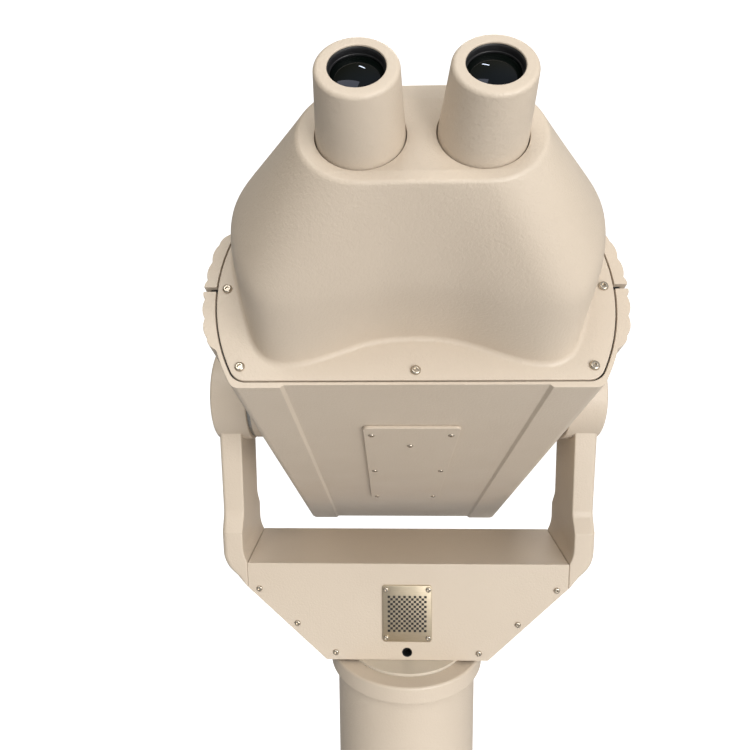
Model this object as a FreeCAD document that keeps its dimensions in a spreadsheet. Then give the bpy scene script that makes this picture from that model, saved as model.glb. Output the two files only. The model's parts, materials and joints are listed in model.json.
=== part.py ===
import math
import os
import re

import FreeCAD
import Part
import Sketcher
from FreeCAD import Placement, Rotation, Vector

# Pay-to-use viewing binoculars on a pedestal.  Millimetres.  The origin is the centre of the base
# flange's underside, +Z is up, and the user stands on the -Y side and looks towards +Y.
#
# Three frames are used, each one set by the Placement of the sub-part:
#   pedestal  the world frame, z measured from the ground
#   yoke      the same axes, z measured from the top of the column
#   head      origin on the tilt axis, X across, -Y (called u) along the sight line towards the user,
#             Z (called v) up through the housing; it is tilted by rest_tilt about X

DIMS = {
    # pedestal
    "column_top": 1100,
    "flange_radius": 160,
    "flange_thickness": 18,
    "anchor_circle_radius": 130,
    "anchor_hole_radius": 9,
    "cable_entry_radius": 30,
    "column_radius": 76,
    "column_wall": 5,
    "column_bore_radius": "=column_radius - column_wall",
    "cap_radius": 83.5,
    "cap_rim": 17.2,
    "cap_chamfer": 1.5,
    "cap_spigot": 25,
    "washer_radius": 66,
    "washer_thickness": 3.15,
    "spindle_radius": 20,
    "spindle_flange_radius": 45,
    "spindle_flange_thickness": 10,
    "spindle_bolt_circle": 33,
    "spindle_top": 81.5,
    "spindle_end_radius": 15,
    "spindle_end_length": 19,
    "spindle_clearance": 0.5,
    "pan_washer_radius": 30,
    "pan_washer_thickness": 2.6,
    "pan_nut_radius": 25,
    "pan_nut_height": 14,
    # yoke base
    "base_bottom": 3.2,
    "shelf_height": 111,
    "shelf_thickness": 5,
    "base_depth": 88,
    "base_half_bottom": 85,
    "base_half_top": 166,
    "base_wall": 14,
    "plate_thickness": 3,
    "housing_bore_outer": 36,
    "bush_outer": 25,
    "bush_length": 25,
    "bush_low": 20,
    "tower_top": 81.4,
    "running_gap": 0.05,
    "press_gap": 0.02,
    "fit_gap": 0.1,
    "drag_hole_radius": 5.15,
    "drag_screw_radius": 4,
    "drag_tip_radius": 2.5,
    "drag_height": 12.1,
    "payment_width": 51.6,
    "payment_height": 62.8,
    "payment_centre": 56.6,
    "payment_thickness": 1.6,
    # arms and tilt bearing
    "arm_inner": 170,
    "arm_outer": 193.4,
    "arm_foot_outer": 191.4,
    "arm_depth": 66,
    "arm_corner": 30,
    "arm_edge": 3.6,
    "foot_edge": 6.5,
    "arm_step_low": 143.6,
    "arm_step_high": 160,
    "cable_radius": 2.5,
    "cable_bend": 11,
    "cable_channel_x": 181,
    "cable_channel_radius": 4,
    "tilt_height": 282.5,
    "rest_tilt": 32.75,
    "tilt_up": 40,
    "tilt_down": 30,
    "hub_radius": 49,
    "hub_inner": 161,
    "hub_outer": 196.6,
    "hub_edge": 3,
    "hub_bore": 24,
    "hub_cap_radius": 36,
    "hub_cap_sink": 5.5,
    "hub_cap_crown": 1.1,
    "journal_radius": 20,
    "boss_radius": 47,
    "boss_inner": 150.2,
    "boss_outer": 157.6,
    "tilt_washer_bore": 43.2,
    "tilt_washer_radius": 45.8,
    "tilt_bush_length": 14,
    "journal_end": 175.3,
    "tilt_thread_radius": 12,
    "tilt_thread_length": 12.5,
    "tilt_nut_radius": 18,
    "tilt_nut_height": 8,
    "tilt_nut_washer_radius": 21,
    "tilt_nut_washer": 2.4,
    "trunnion_bore": 6,
    "trunnion_bolt_circle": 22,
    "trunnion_spigot": 30,
    "side_plate_inner": 121,
    "side_plate_outer": 128.5,
    "stop_radius": 38,
    "stop_pin_radius": 4,
    # head housing
    "rim": 232.75,
    "housing_length": 474.15,
    "parting": -12.3,
    "parting_half_gap": 1.7,
    "side_centre": 1.8,
    "side_radius": 137.8,
    "cover_half_height": 70.7,
    "cover_corner": 12,
    "cover_gap": 1.1,
    "housing_wall": 4.2,
    "housing_floor": 5.4,
    "housing_corner": 8,
    "panel_half_width": 89.65,
    "panel_recess": 2,
    "panel_step_width": 2.2,
    "grip_peak": 148.1,
    "grip_valley": 146.5,
    "grip_pitch": 6.1,
    "grip_end": 18.9,
    "bulkhead_thickness": 10,
    # user-side cover
    "cover_flange": 3.6,
    "hump_height": 130.8,
    "hump_wall": 3.2,
    "hump_shoulder": 60,
    "hump_soft": 9,
    "plateau_half_width": 67,
    "plateau_low": -31.5,
    "plateau_high": 37.8,
    "plateau_edge": 3,
    "eyepiece_hole": 24.3,
    # eyepieces
    "eye_half_spacing": 32,
    "eye_height": 1.9,
    "eye_end": 405.7,
    "barrel_start": 338,
    "barrel_radius": 23.7,
    "barrel_tip_radius": 20.3,
    "barrel_rim": 2.6,
    "barrel_bore": 13.9,
    "cell_radius": 15,
    "cell_bore": 13,
    "cell_start": 247,
    "cell_end": 403.8,
    "guide_radius": 19,
    "guide_end": 366,
    "eyepiece_plate_start": 186,
    "eyepiece_plate_face": 194,
    "lens_thickness": 4,
    "lens_crown": 1.4,
    # shutter
    "shutter_bracket_start": 150,
    "shutter_bracket_face": 153,
    "shutter_plane": 172,
    "vane_radius": 15.5,
    "vane_thickness": 1.5,
    "shutter_spindle_radius": 2.5,
    "light_path_radius": 16,
    # objective side
    "objective_half_spacing": 68,
    "objective_height": -13,
    "objective_lens_radius": 45,
    "tube_radius": 49,
    "tube_wall": 3,
    "window_radius": 50,
    "window_thickness": 4,
    "window_lip": 4,
    "hood_length": 5,
    "bench_top": -66,
    "bench_thickness": 5,
    "tube_start": -80,
    "tube_length": 300,
    "objective_plane": 196,
    "objective_thickness": 6,
    "objective_crown": 2,
    "front_flange": 4,
    # access plate
    "access_half_width": 38.5,
    "access_start": -107,
    "access_end": 149.5,
    "access_thickness": 3,
}

doc = FreeCAD.newDocument("viewer")
sheet = doc.addObject("Spreadsheet::Sheet", "Sheet")
for row, (alias, value) in enumerate(DIMS.items(), 1):
    sheet.set(f"A{row}", alias)
    sheet.set(f"B{row}", str(value))
    sheet.setAlias(f"B{row}", alias)
doc.recompute()

SUB_PARTS = []
ALONG = {
    "X": Rotation(Vector(0, 1, 0), 90),
    "-X": Rotation(Vector(0, 1, 0), -90),
    "Y": Rotation(Vector(1, 0, 0), -90),
    "U": Rotation(Vector(1, 0, 0), 90),
    "Z": Rotation(),
    "-Z": Rotation(Vector(1, 0, 0), 180),
}


# ---------------------------------------------------------------- helpers


def dim(alias):
    """A driving dimension read back from the sheet."""
    return float(sheet.get(alias))


def formula(text):
    """The expression text with every dimension written as a cell of the sheet."""
    return re.sub(r"[a-z][a-z_]+", lambda m: "Sheet." + m[0] if m[0] in DIMS else m[0], text)


def drive(obj, path, value):
    """Bind a property to an expression, or set it when the value is a plain number."""
    if isinstance(value, str):
        obj.setExpression(path, formula(value))
    elif not path.startswith("Placement"):
        setattr(obj, path, value)


def put(obj, at, along="Z"):
    """Place an object at a point whose coordinates are numbers or expressions."""
    numbers = [0 if isinstance(c, str) else c for c in at]
    obj.Placement = Placement(Vector(*numbers), ALONG[along])
    for axis, value in zip("xyz", at):
        drive(obj, f"Placement.Base.{axis}", value)
    return obj


def primitive(kind, at, along, **sizes):
    obj = doc.addObject(kind, kind.split("::")[1].lower())
    for path, value in sizes.items():
        drive(obj, path, value)
    return put(obj, at, along)


def cylinder(radius, height, at=(0, 0, 0), along="Z", sweep=360):
    return primitive("Part::Cylinder", at, along, Radius=radius, Height=height, Angle=sweep)


def cone(radius, tip_radius, height, at=(0, 0, 0), along="Z"):
    return primitive("Part::Cone", at, along, Radius1=radius, Radius2=tip_radius, Height=height)


def box(length, width, height, at=(0, 0, 0)):
    return primitive("Part::Box", at, "Z", Length=length, Width=width, Height=height)


def hexagon(circumradius, height, at=(0, 0, 0), along="Z"):
    return primitive("Part::Prism", at, along, Polygon=6, Circumradius=circumradius, Height=height)


def group(items):
    obj = doc.addObject("Part::Compound", "group")
    obj.Links = items
    return obj


def fuse(*items):
    obj = doc.addObject("Part::MultiFuse", "fuse")
    obj.Shapes = list(items)
    obj.Refine = True
    return obj


def cut(base, *tools):
    obj = doc.addObject("Part::Cut", "cut")
    obj.Base = base
    obj.Tool = tools[0] if len(tools) == 1 else fuse(*tools)
    obj.Refine = True
    return obj


def common(base, tool):
    obj = doc.addObject("Part::Common", "common")
    obj.Base = base
    obj.Tool = tool
    doc.recompute()
    assert obj.Shape.Volume > 1, f"{obj.Name} is empty"
    return obj


def copy_at(master, at, along="Z"):
    """One instance of a master shape at a place."""
    return put(group([master]), at, along)


def solid(shape):
    """A shape worked out in code from the sheet, as an object of the document."""
    obj = doc.addObject("Part::Feature", "shape")
    obj.Shape = shape
    return obj


def sub_part(label, frame, obj):
    """Name one piece of the product and place it in its frame."""
    if obj.TypeId in ("Part::Cylinder", "Part::Box", "Part::Cone", "Part::Feature"):
        obj = group([obj])
    obj.Label = label
    if frame == "yoke":
        put(obj, (0, 0, "column_top"))
    if frame == "head":
        turn = Rotation(Vector(1, 0, 0), -dim("rest_tilt"))
        obj.Placement = Placement(Vector(0, 0, dim("column_top") + dim("tilt_height")), turn)
        obj.setExpression("Placement.Base.z", formula("column_top + tilt_height"))
        obj.setExpression("Placement.Rotation.Angle", formula("rest_tilt"))
        obj.setExpression("Placement.Rotation.Axis.x", "-1")
    SUB_PARTS.append(obj)
    return obj


def line(a, b):
    return Part.LineSegment(Vector(a[0], a[1], 0), Vector(b[0], b[1], 0))


def arc(a, middle, b):
    """Arc through three points, always kept anticlockwise."""
    first, mid, last = (Vector(p[0], p[1], 0) for p in (a, middle, b))
    if (mid - first).cross(last - mid).z < 0:
        first, last = last, first
    return Part.Arc(first, mid, last)


def rounded(corners):
    """Lines and arcs through corners given as (x, y, radius), in order, closed."""
    starts, ends, arcs = [], [], []
    for i, (x, y, radius) in enumerate(corners):
        here = Vector(x, y, 0)
        before = (Vector(*corners[i - 1][:2], 0) - here).normalize()
        after = (Vector(*corners[(i + 1) % len(corners)][:2], 0) - here).normalize()
        half = before.getAngle(after) / 2
        reach = radius / math.tan(half)
        starts.append(here + before * reach)
        ends.append(here + after * reach)
        bisector = (before + after).normalize()
        arcs.append(here + bisector * (radius / math.sin(half) - radius))
    shapes = []
    for i, (_, _, radius) in enumerate(corners):
        if radius > 0:
            shapes.append(arc(starts[i], arcs[i], ends[i]))
        shapes.append(Part.LineSegment(ends[i], starts[(i + 1) % len(corners)]))
    return shapes


def centred_rectangle(half_width, half_height, radius, centre=(0, 0)):
    x, y = centre
    corners = [(-1, -1), (1, -1), (1, 1), (-1, 1)]
    return rounded([(x + i * half_width, y + j * half_height, radius) for i, j in corners])


def body_plane(body, role):
    return next(f for f in body.Origin.OriginFeatures if f.Role == role)


def sketch_on(body, role, offset, outline, circles=()):
    """A sketch on a plane of the body's origin, moved along its normal by offset."""
    sketch = body.newObject("Sketcher::SketchObject", "Sketch")
    sketch.AttachmentSupport = [(body_plane(body, role), "")]
    sketch.MapMode = "FlatFace"
    if isinstance(offset, str):
        sketch.setExpression("AttachmentOffset.Base.z", formula(offset))
    else:
        sketch.AttachmentOffset = Placement(Vector(0, 0, offset), Rotation())
    sketch.addGeometry(outline, False)
    add_circles(sketch, circles)
    return sketch


def add_circles(sketch, circles):
    for x, y, radius in circles:
        value = dim(radius) if isinstance(radius, str) else radius
        ring = sketch.addGeometry(Part.Circle(Vector(x, y, 0), Vector(0, 0, 1), value), False)
        index = sketch.addConstraint(Sketcher.Constraint("Radius", ring, value))
        if isinstance(radius, str):
            sketch.setExpression(f"Constraints[{index}]", formula(radius))


def plate(role, offset, thickness, outline, circles=()):
    """A PartDesign body: one outline with round holes, padded by thickness."""
    body = doc.addObject("PartDesign::Body", "Body")
    sketch = sketch_on(body, role, offset, outline, circles)
    pad = body.newObject("PartDesign::Pad", "Pad")
    pad.Profile = sketch
    drive(pad, "Length", thickness)
    return body


def pocket(body, role, offset, outline, circles=(), depth=None):
    """Cut an outline out of a body, right through both ways or to a depth against the normal."""
    doc.recompute()
    before = body.Shape.Volume
    sketch = sketch_on(body, role, offset, outline, circles)
    feature = body.newObject("PartDesign::Pocket", "Pocket")
    feature.Profile = sketch
    if depth is None:
        feature.Type = "ThroughAll"
        feature.Midplane = True
    else:
        drive(feature, "Length", depth)
    doc.recompute()
    assert body.Shape.Volume < before - 1, f"a pocket of {body.Name} cuts nothing"


def u_at(x, u, v):
    """A point of the head frame given by its distance u towards the user."""
    return (x, f"-({u})", v)


# ---------------------------------------------------------------- fasteners


# head radius, head height, shank radius, shank length, socket radius
SCREWS = {
    "cover": (3.5, 2, 2, 11, 1.6),
    "plate": (3.2, 1.8, 1.9, 10, 1.4),
    "payment": (2.9, 1.5, 1.5, 6, 1.2),
    "access": (2.6, 1.2, 1.6, 6, 1.1),
    "arm": (6.5, 5, 4, 22, 2.8),
    "spindle": (6.5, 5, 4, 20, 2.8),
    "trunnion": (5, 3.4, 3, 20, 2.4),
}
CLEARANCE_HOLE = {"cover": 2.2, "plate": 2.2, "payment": 1.6, "access": 1.7, "arm": 4.3, "spindle": 4.3,
                  "trunnion": 3.3}
TAPPED_HOLE = {"cover": 2.05, "plate": 2, "arm": 4.05, "spindle": 4.1, "trunnion": 3.05}

COVER_SCREW_XV = [(132.65, -12.3), (117.8, -73.1), (117.8, 48.5)]
CENTRE_SCREW_V = [-76, 54.4]
YOKE_SCREW_XZ = [(154, 83), (115, 44.8), (75, 12)]
PAYMENT_SCREW = (22, 27)
ACCESS_SCREWS = [(0, 103.5)] + [(s * 32, u) for u in (132.8, 18.8, -98.6) for s in (1, -1)]
ARM_BOLTS_Y = (-30, -12, 12, 30)
ARM_BOLT_Z = 99


def screw(kind):
    """Button-head socket screw: head above z = 0, shank below."""
    head_radius, head_height, shank_radius, shank_length, socket_radius = SCREWS[kind]
    crown = head_height * 0.45
    head = fuse(
        cylinder(head_radius, head_height - crown),
        cone(head_radius, head_radius * 0.72, crown, (0, 0, head_height - crown)),
        cylinder(shank_radius, shank_length, (0, 0, -shank_length)),
    )
    return cut(head, hexagon(socket_radius, head_height, (0, 0, head_height * 0.45)))


def screws(label, frame, kind, places):
    """A node of identical screws; each place is ((x, y, z), direction of the head)."""
    master = screw(kind)
    sub_part(label, frame, group([copy_at(master, at, along) for at, along in places]))


def cover_screw_places():
    sides = [(s * x, v) for x, v in COVER_SCREW_XV for s in (-1, 1)]
    return sides + [(0, v) for v in CENTRE_SCREW_V]


def payment_screw_places():
    x, z = PAYMENT_SCREW
    return [(i * x, dim("payment_centre") + j * z) for i in (-1, 1) for j in (-1, 1)]


def ring_of(count, radius, first=0):
    """Points spread evenly around a circle, the first at an angle in degrees."""
    turns = [math.radians(first + 360 * i / count) for i in range(count)]
    return [(radius * math.cos(t), radius * math.sin(t)) for t in turns]


def spindle_bolt_places():
    return ring_of(4, dim("spindle_bolt_circle"), 45)


def trunnion_bolt_places():
    return ring_of(3, dim("trunnion_bolt_circle"), 90)


# ---------------------------------------------------------------- pedestal


def base_flange():
    rims = [(0, 0, "flange_radius"), (0, 0, "cable_entry_radius")]
    body = plate("XY_Plane", 0, "flange_thickness", [], rims)
    ring = dim("anchor_circle_radius") / math.sqrt(2)
    holes = [(i * ring, j * ring, "anchor_hole_radius") for i in (-1, 1) for j in (-1, 1)]
    pocket(body, "XY_Plane", 0, [], holes)
    sub_part("base_flange", "world", body)


def column_tube():
    rims = [(0, 0, "column_radius"), (0, 0, "column_bore_radius")]
    height = "column_top - cap_rim - flange_thickness"
    sub_part("column_tube", "world", plate("XY_Plane", "flange_thickness", height, [], rims))


def column_cap():
    rim = fuse(
        cylinder("cap_radius", "cap_rim - cap_chamfer", (0, 0, "-cap_rim")),
        cone("cap_radius", "cap_radius - cap_chamfer", "cap_chamfer", (0, 0, "-cap_chamfer")),
        cylinder("column_bore_radius - fit_gap", "cap_spigot", (0, 0, "-cap_rim - cap_spigot")),
    )
    room = 1
    pocket_below = cylinder(
        f"spindle_flange_radius + {room}", "cap_spigot", (0, 0, "-cap_rim - cap_spigot")
    )
    bore = cylinder("spindle_radius + running_gap", "cap_rim", (0, 0, "-cap_rim"))
    thread_depth = 12
    threads = [
        cylinder(TAPPED_HOLE["spindle"], thread_depth, (x, y, "-cap_rim"))
        for x, y in spindle_bolt_places()
    ]
    sub_part("column_cap", "yoke", cut(rim, pocket_below, bore, *threads))


def thrust_washer():
    disc = cylinder("washer_radius", "washer_thickness")
    hole = cylinder("spindle_radius + spindle_clearance", "washer_thickness")
    sub_part("thrust_washer", "yoke", cut(disc, hole))


def pan_spindle():
    flange_z = "-cap_rim - spindle_flange_thickness"
    holes = [
        cylinder(CLEARANCE_HOLE["spindle"], "spindle_flange_thickness", (x, y, flange_z))
        for x, y in spindle_bolt_places()
    ]
    shaft = fuse(
        cylinder("spindle_flange_radius", "spindle_flange_thickness", (0, 0, flange_z)),
        cylinder("spindle_radius", "cap_rim + spindle_top", (0, 0, "-cap_rim")),
        cylinder("spindle_end_radius", "spindle_end_length", (0, 0, "spindle_top")),
    )
    sub_part("pan_spindle", "yoke", cut(shaft, *holes))


def spindle_bolts():
    seat = "-cap_rim - spindle_flange_thickness"
    places = [((x, y, seat), "-Z") for x, y in spindle_bolt_places()]
    screws("spindle_bolts", "yoke", "spindle", places)


def pan_nut():
    seat = (0, 0, "spindle_top + pan_washer_thickness + fit_gap")
    nut = hexagon("pan_nut_radius", "pan_nut_height", seat)
    sub_part("pan_nut", "yoke", cut(nut, cylinder("spindle_end_radius", "pan_nut_height", seat)))


def pan_washer():
    seat = (0, 0, "spindle_top")
    disc = cylinder("pan_washer_radius", "pan_washer_thickness", seat)
    bore = cylinder("spindle_end_radius + fit_gap", "pan_washer_thickness", seat)
    sub_part("pan_washer", "yoke", cut(disc, bore))


# ---------------------------------------------------------------- yoke base


def base_outline(inset, end_inset=0):
    """Trapezium of the yoke base in X and Z, moved in by inset on its bottom and slopes."""
    bottom = dim("base_bottom") + inset
    top = dim("shelf_height")
    slope_drop = dim("base_half_bottom") - dim("base_bottom") - inset * math.sqrt(2)
    end = dim("base_half_top") - end_inset
    low = slope_drop + bottom
    corner = 4
    return [
        (-low, bottom, corner),
        (low, bottom, corner),
        (end, end - slope_drop, 0),
        (end, top, 0),
        (-end, top, 0),
        (-end, end - slope_drop, 0),
    ]


def yoke_base():
    face = dim("base_depth") / 2 - dim("plate_thickness")
    body = plate("XZ_Plane", -face, "base_depth - 2 * plate_thickness", rounded(base_outline(0)))
    cavity = base_outline(dim("base_wall"), dim("base_wall"))
    roof = dim("shelf_height") - dim("shelf_thickness")
    cavity[3] = (cavity[3][0], roof, 0)
    cavity[4] = (cavity[4][0], roof, 0)
    pocket(body, "XZ_Plane", 0, rounded(cavity))
    tower = cylinder("housing_bore_outer", "tower_top - base_bottom", (0, 0, "base_bottom"))
    drilled = tower_bores() + end_wall_holes()
    thread_depth = 12
    for x, z in YOKE_SCREW_XZ:
        for side in (-1, 1):
            drilled.append(cylinder(TAPPED_HOLE["plate"], thread_depth, (side * x, -face, z), "Y"))
            drilled.append(cylinder(TAPPED_HOLE["plate"], thread_depth, (side * x, face, z), "U"))
    sub_part("yoke_base", "yoke", cut(fuse(body, tower), *drilled))


def tower_bores():
    """Bores for the spindle and its two bushes, and the threaded hole of the drag screw."""
    front = "-base_depth / 2 - 1"
    return [
        cylinder("spindle_radius + spindle_clearance", "tower_top"),
        cylinder("bush_outer", "bush_length", (0, 0, "bush_low")),
        cylinder("bush_outer", "bush_length", (0, 0, "tower_top - bush_length")),
        cylinder("drag_screw_radius + fit_gap", 30, (0, front, "drag_height"), "Y"),
        cylinder("drag_hole_radius", 14, (0, front, "drag_height"), "Y"),
    ]


def end_wall_holes():
    """Arm bolt holes in both end walls and the cable hole in the right one."""
    start = dim("base_half_top") - 1.5 * dim("base_wall")
    cable_hole = cylinder("2 * cable_radius", "2 * base_wall", (start, 0, ARM_BOLT_Z), "X")
    holes = [cable_hole]
    for side, along in ((-1, "-X"), (1, "X")):
        for y in ARM_BOLTS_Y:
            at = (side * start, y, ARM_BOLT_Z)
            holes.append(cylinder(CLEARANCE_HOLE["arm"], "2 * base_wall", at, along))
    return holes


def cover_plate(label, offset, pierced):
    """Front or rear plate that closes the yoke base over its whole face."""
    outline = rounded(base_outline(0, 2 * dim("fit_gap")))
    circles = [(s * x, z, CLEARANCE_HOLE["plate"]) for x, z in YOKE_SCREW_XZ for s in (-1, 1)]
    if pierced:
        circles.append((0, dim("drag_height"), "drag_hole_radius"))
        circles += [(x, z, CLEARANCE_HOLE["payment"]) for x, z in payment_screw_places()]
    sub_part(label, "yoke", plate("XZ_Plane", offset, "plate_thickness", outline, circles))


def payment_plate():
    holes = [(x, z, CLEARANCE_HOLE["payment"]) for x, z in payment_screw_places()]
    corner = 4
    outline = centred_rectangle(
        dim("payment_width") / 2, dim("payment_height") / 2, corner, (0, dim("payment_centre"))
    )
    body = plate("XZ_Plane", "base_depth / 2", "payment_thickness", outline, holes)
    sub_part("payment_plate", "yoke", body)


def yoke_screws():
    places = []
    for x, z in YOKE_SCREW_XZ:
        for side in (-1, 1):
            places.append(((side * x, "-base_depth / 2", z), "U"))
            places.append(((side * x, "base_depth / 2", z), "Y"))
    screws("yoke_plate_screws", "yoke", "plate", places)


def payment_screws():
    face = "-base_depth / 2 - payment_thickness"
    places = [((x, face, z), "U") for x, z in payment_screw_places()]
    screws("payment_plate_screws", "yoke", "payment", places)


def arm_bolts():
    places = []
    for side, along in ((-1, "X"), (1, "-X")):
        for y in ARM_BOLTS_Y:
            places.append(((f"{side} * (base_half_top - base_wall)", y, ARM_BOLT_Z), along))
    screws("arm_bolts", "yoke", "arm", places)


def pan_bushes():
    bushes = []
    for z in ("bush_low", "tower_top - bush_length"):
        ring = cylinder("bush_outer - press_gap", "bush_length", (0, 0, z))
        bushes.append(cut(ring, cylinder("spindle_radius + running_gap", "bush_length", (0, 0, z))))
    sub_part("pan_bushes", "yoke", group(bushes))


def pan_drag_screw():
    """Set screw with a hexagon socket, whose tip bears on the spindle."""
    start = -34
    length = 12
    tip = 1.7
    body = fuse(
        cylinder("drag_screw_radius", length, (0, start, "drag_height"), "Y"),
        cylinder("drag_tip_radius", tip, (0, start + length, "drag_height"), "Y"),
    )
    socket = hexagon(2.3, 5, (0, start, "drag_height"), "Y")
    sub_part("pan_drag_screw", "yoke", cut(body, socket))


def battery_pack():
    case = box(58, 60, 44, (-112, -30, 55))
    lid = box(50, 52, 3, (-108, -26, 99))
    sub_part("battery_pack", "yoke", fuse(case, lid))


def control_board():
    board = box(74, 1.6, 40, (48, 24, 62))
    chips = [
        box(14, 3, 14, (60, 21, 72)),
        box(22, 6, 10, (84, 18, 66)),
        box(10, 9, 8, (108, 15, 90)),
        box(6, 4, 20, (52, 20, 74)),
    ]
    posts = [cylinder(2.5, 13.9, (x, 25.6, 86), "Y") for x in (55, 115)]
    sub_part("control_board", "yoke", fuse(board, *chips, *posts))


def signal_cable():
    """Cable from the board through the end wall and up the right arm to the tilt bearing."""
    bend = dim("cable_bend")
    channel = dim("cable_channel_x")
    turn = bend * math.sqrt(0.5)
    start = Vector(125, 0, ARM_BOLT_Z)
    corner_start = Vector(channel - bend, 0, ARM_BOLT_Z)
    corner_middle = Vector(channel - bend + turn, 0, ARM_BOLT_Z + bend - turn)
    corner_end = Vector(channel, 0, ARM_BOLT_Z + bend)
    end = Vector(channel, 0, dim("tilt_height") - dim("hub_bore") + 1)
    wire = Part.Wire([
        Part.LineSegment(start, corner_start).toShape(),
        Part.Arc(corner_start, corner_middle, corner_end).toShape(),
        Part.LineSegment(corner_end, end).toShape(),
    ])
    ring = Part.Wire(Part.makeCircle(dim("cable_radius"), start, Vector(1, 0, 0)))
    sub_part("signal_cable", "yoke", solid(wire.makePipeShell([ring], True, False)))


# ---------------------------------------------------------------- arms


def arm(side):
    """Cast arm: foot bolted to the base, narrow upright and the bearing hub, for side -1 or 1."""
    along = "X" if side > 0 else "-X"
    upright = plate("XZ_Plane", "-base_depth / 2", "base_depth", rounded(arm_front_view(side)))
    spare = 2
    width = dim("arm_outer") - dim("base_half_top") + 2 * spare
    start = dim("base_half_top") - spare if side > 0 else -dim("arm_outer") - spare
    profile = plate("YZ_Plane", start, width, rounded(arm_side_view()))
    bevels = [chamfer_wedge(side, y_sign) for y_sign in (-1, 1)]
    block = cut(common(upright, profile), *bevels)
    cap_seat = f"{side} * (hub_outer - hub_cap_sink - fit_gap)"
    tools = [
        cylinder("hub_bore", 60, (side * 150, 0, "tilt_height"), along),
        cylinder("hub_cap_radius", 20, (cap_seat, 0, "tilt_height"), along),
    ]
    for y in ARM_BOLTS_Y:
        at = (f"{side} * (base_half_top - 1)", y, ARM_BOLT_Z)
        tools.append(cylinder(TAPPED_HOLE["arm"], 10, at, along))
    tools += cable_channels() if side > 0 else [stop_pin_hole()]
    label = "right_arm" if side > 0 else "left_arm"
    sub_part(label, "yoke", cut(fuse(block, *hub_rings(side, along)), *tools))


def arm_front_view(side):
    """Outline in X and Z: sloping foot, inner fillet above the shelf, straight upright."""
    foot = dim("base_half_top")
    foot_outer = dim("arm_foot_outer")
    shelf = dim("shelf_height")
    hub_z = dim("tilt_height")
    slope_drop = dim("base_half_bottom") - dim("base_bottom")
    spread = 0.01
    fillet_top = 34
    fillet_foot = 4
    fillet_radius = 28
    return [
        (side * foot, foot - slope_drop, 0),
        (side * foot_outer, foot_outer - slope_drop, dim("arm_corner")),
        (side * dim("arm_outer"), hub_z, 0),
        (side * dim("arm_inner"), hub_z, 0),
        (side * dim("arm_inner"), shelf + fillet_top, fillet_radius),
        (side * (foot + spread), shelf + fillet_foot, 0),
        (side * (foot + spread), shelf, 0),
    ]


def hub_rings(side, along):
    """Bearing hub: a barrel with its outer edge rounded in two steps."""
    barrel = "hub_outer - hub_inner - hub_edge"
    shoulder = "hub_radius - 0.6 * hub_edge"
    tip = "hub_radius - 1.5 * hub_edge"
    step = "0.5 * hub_edge"
    return [
        cylinder("hub_radius", barrel, (f"{side} * hub_inner", 0, "tilt_height"), along),
        cone("hub_radius", shoulder, step, (f"{side} * (hub_outer - hub_edge)", 0, "tilt_height"), along),
        cone(shoulder, tip, step, (f"{side} * (hub_outer - 0.5 * hub_edge)", 0, "tilt_height"), along),
    ]


def cable_channels():
    """Hole through the foot, pocket at the bend, and bore up the right arm."""
    start = dim("base_half_top") - 1
    low = ARM_BOLT_Z - dim("cable_channel_radius")
    channel = dim("cable_channel_x")
    return [
        cylinder("cable_channel_radius", channel - start + 4, (start, 0, ARM_BOLT_Z), "X"),
        cylinder("cable_channel_radius", dim("tilt_height") - ARM_BOLT_Z, (channel, 0, low), "Z"),
        box(14, 8, 22, (channel - 10, "-cable_channel_radius", low)),
    ]


def stop_pin_hole():
    start = -dim("hub_inner") + 1
    return cylinder("stop_pin_radius", 12, (start, 0, "tilt_height - stop_radius"), "-X")


def arm_side_view():
    """Outline in Y and Z: full depth at the foot, a ledge, then the narrow upright."""
    spare = 2
    foot = dim("base_depth") / 2
    narrow = dim("arm_depth") / 2
    high = dim("arm_step_high")
    slope = (high - dim("arm_step_low")) / (foot - narrow)
    wide = foot + spare
    low = dim("arm_step_low") - slope * spare
    top = dim("tilt_height") + spare
    bottom = 70
    soft = 14
    right = [(wide, bottom, 0), (wide, low, 0), (narrow, high, soft), (narrow, top, 0)]
    return right + [(-y, z, radius) for y, z, radius in reversed(right)]


def chamfer_wedge(side, y_sign):
    """Sliver that bevels the outer vertical edges of an arm: the upright, then the foot."""
    below_foot = 60
    step = dim("arm_step_low") + 4
    upright = (dim("arm_outer"), y_sign * dim("arm_depth") / 2, dim("arm_edge"))
    foot = (dim("arm_foot_outer"), y_sign * dim("base_depth") / 2, dim("foot_edge"))
    return fuse(
        bevel_prism(side, y_sign, *upright, dim("arm_step_high"), dim("tilt_height")),
        bevel_prism(side, y_sign, *foot, below_foot, step),
    )


def bevel_prism(side, y_sign, outer, y, edge, low, high):
    """Upright three-sided prism that takes a 45 degree bevel off the corner (outer, y)."""
    out = 3
    over = 1
    corner = [
        (side * (outer + out), y - y_sign * (edge + out)),
        (side * (outer + out), y + y_sign * over),
        (side * (outer - edge - over), y + y_sign * over),
    ]
    wire = Part.makePolygon([Vector(px, py, low) for px, py in corner + corner[:1]])
    return solid(Part.Face(wire).extrude(Vector(0, 0, high - low)))


def hub_caps():
    caps = []
    radius = "hub_cap_radius - fit_gap"
    for side, along in ((-1, "-X"), (1, "X")):
        seat = (f"{side} * (hub_outer - hub_cap_sink)", 0, "tilt_height")
        shoulder = (f"{side} * (hub_outer - hub_cap_crown)", 0, "tilt_height")
        caps.append(fuse(
            cylinder(radius, "hub_cap_sink - hub_cap_crown", seat, along),
            cone(radius, "hub_cap_radius - 2", "hub_cap_crown", shoulder, along),
        ))
    sub_part("hub_caps", "yoke", group(caps))


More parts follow.
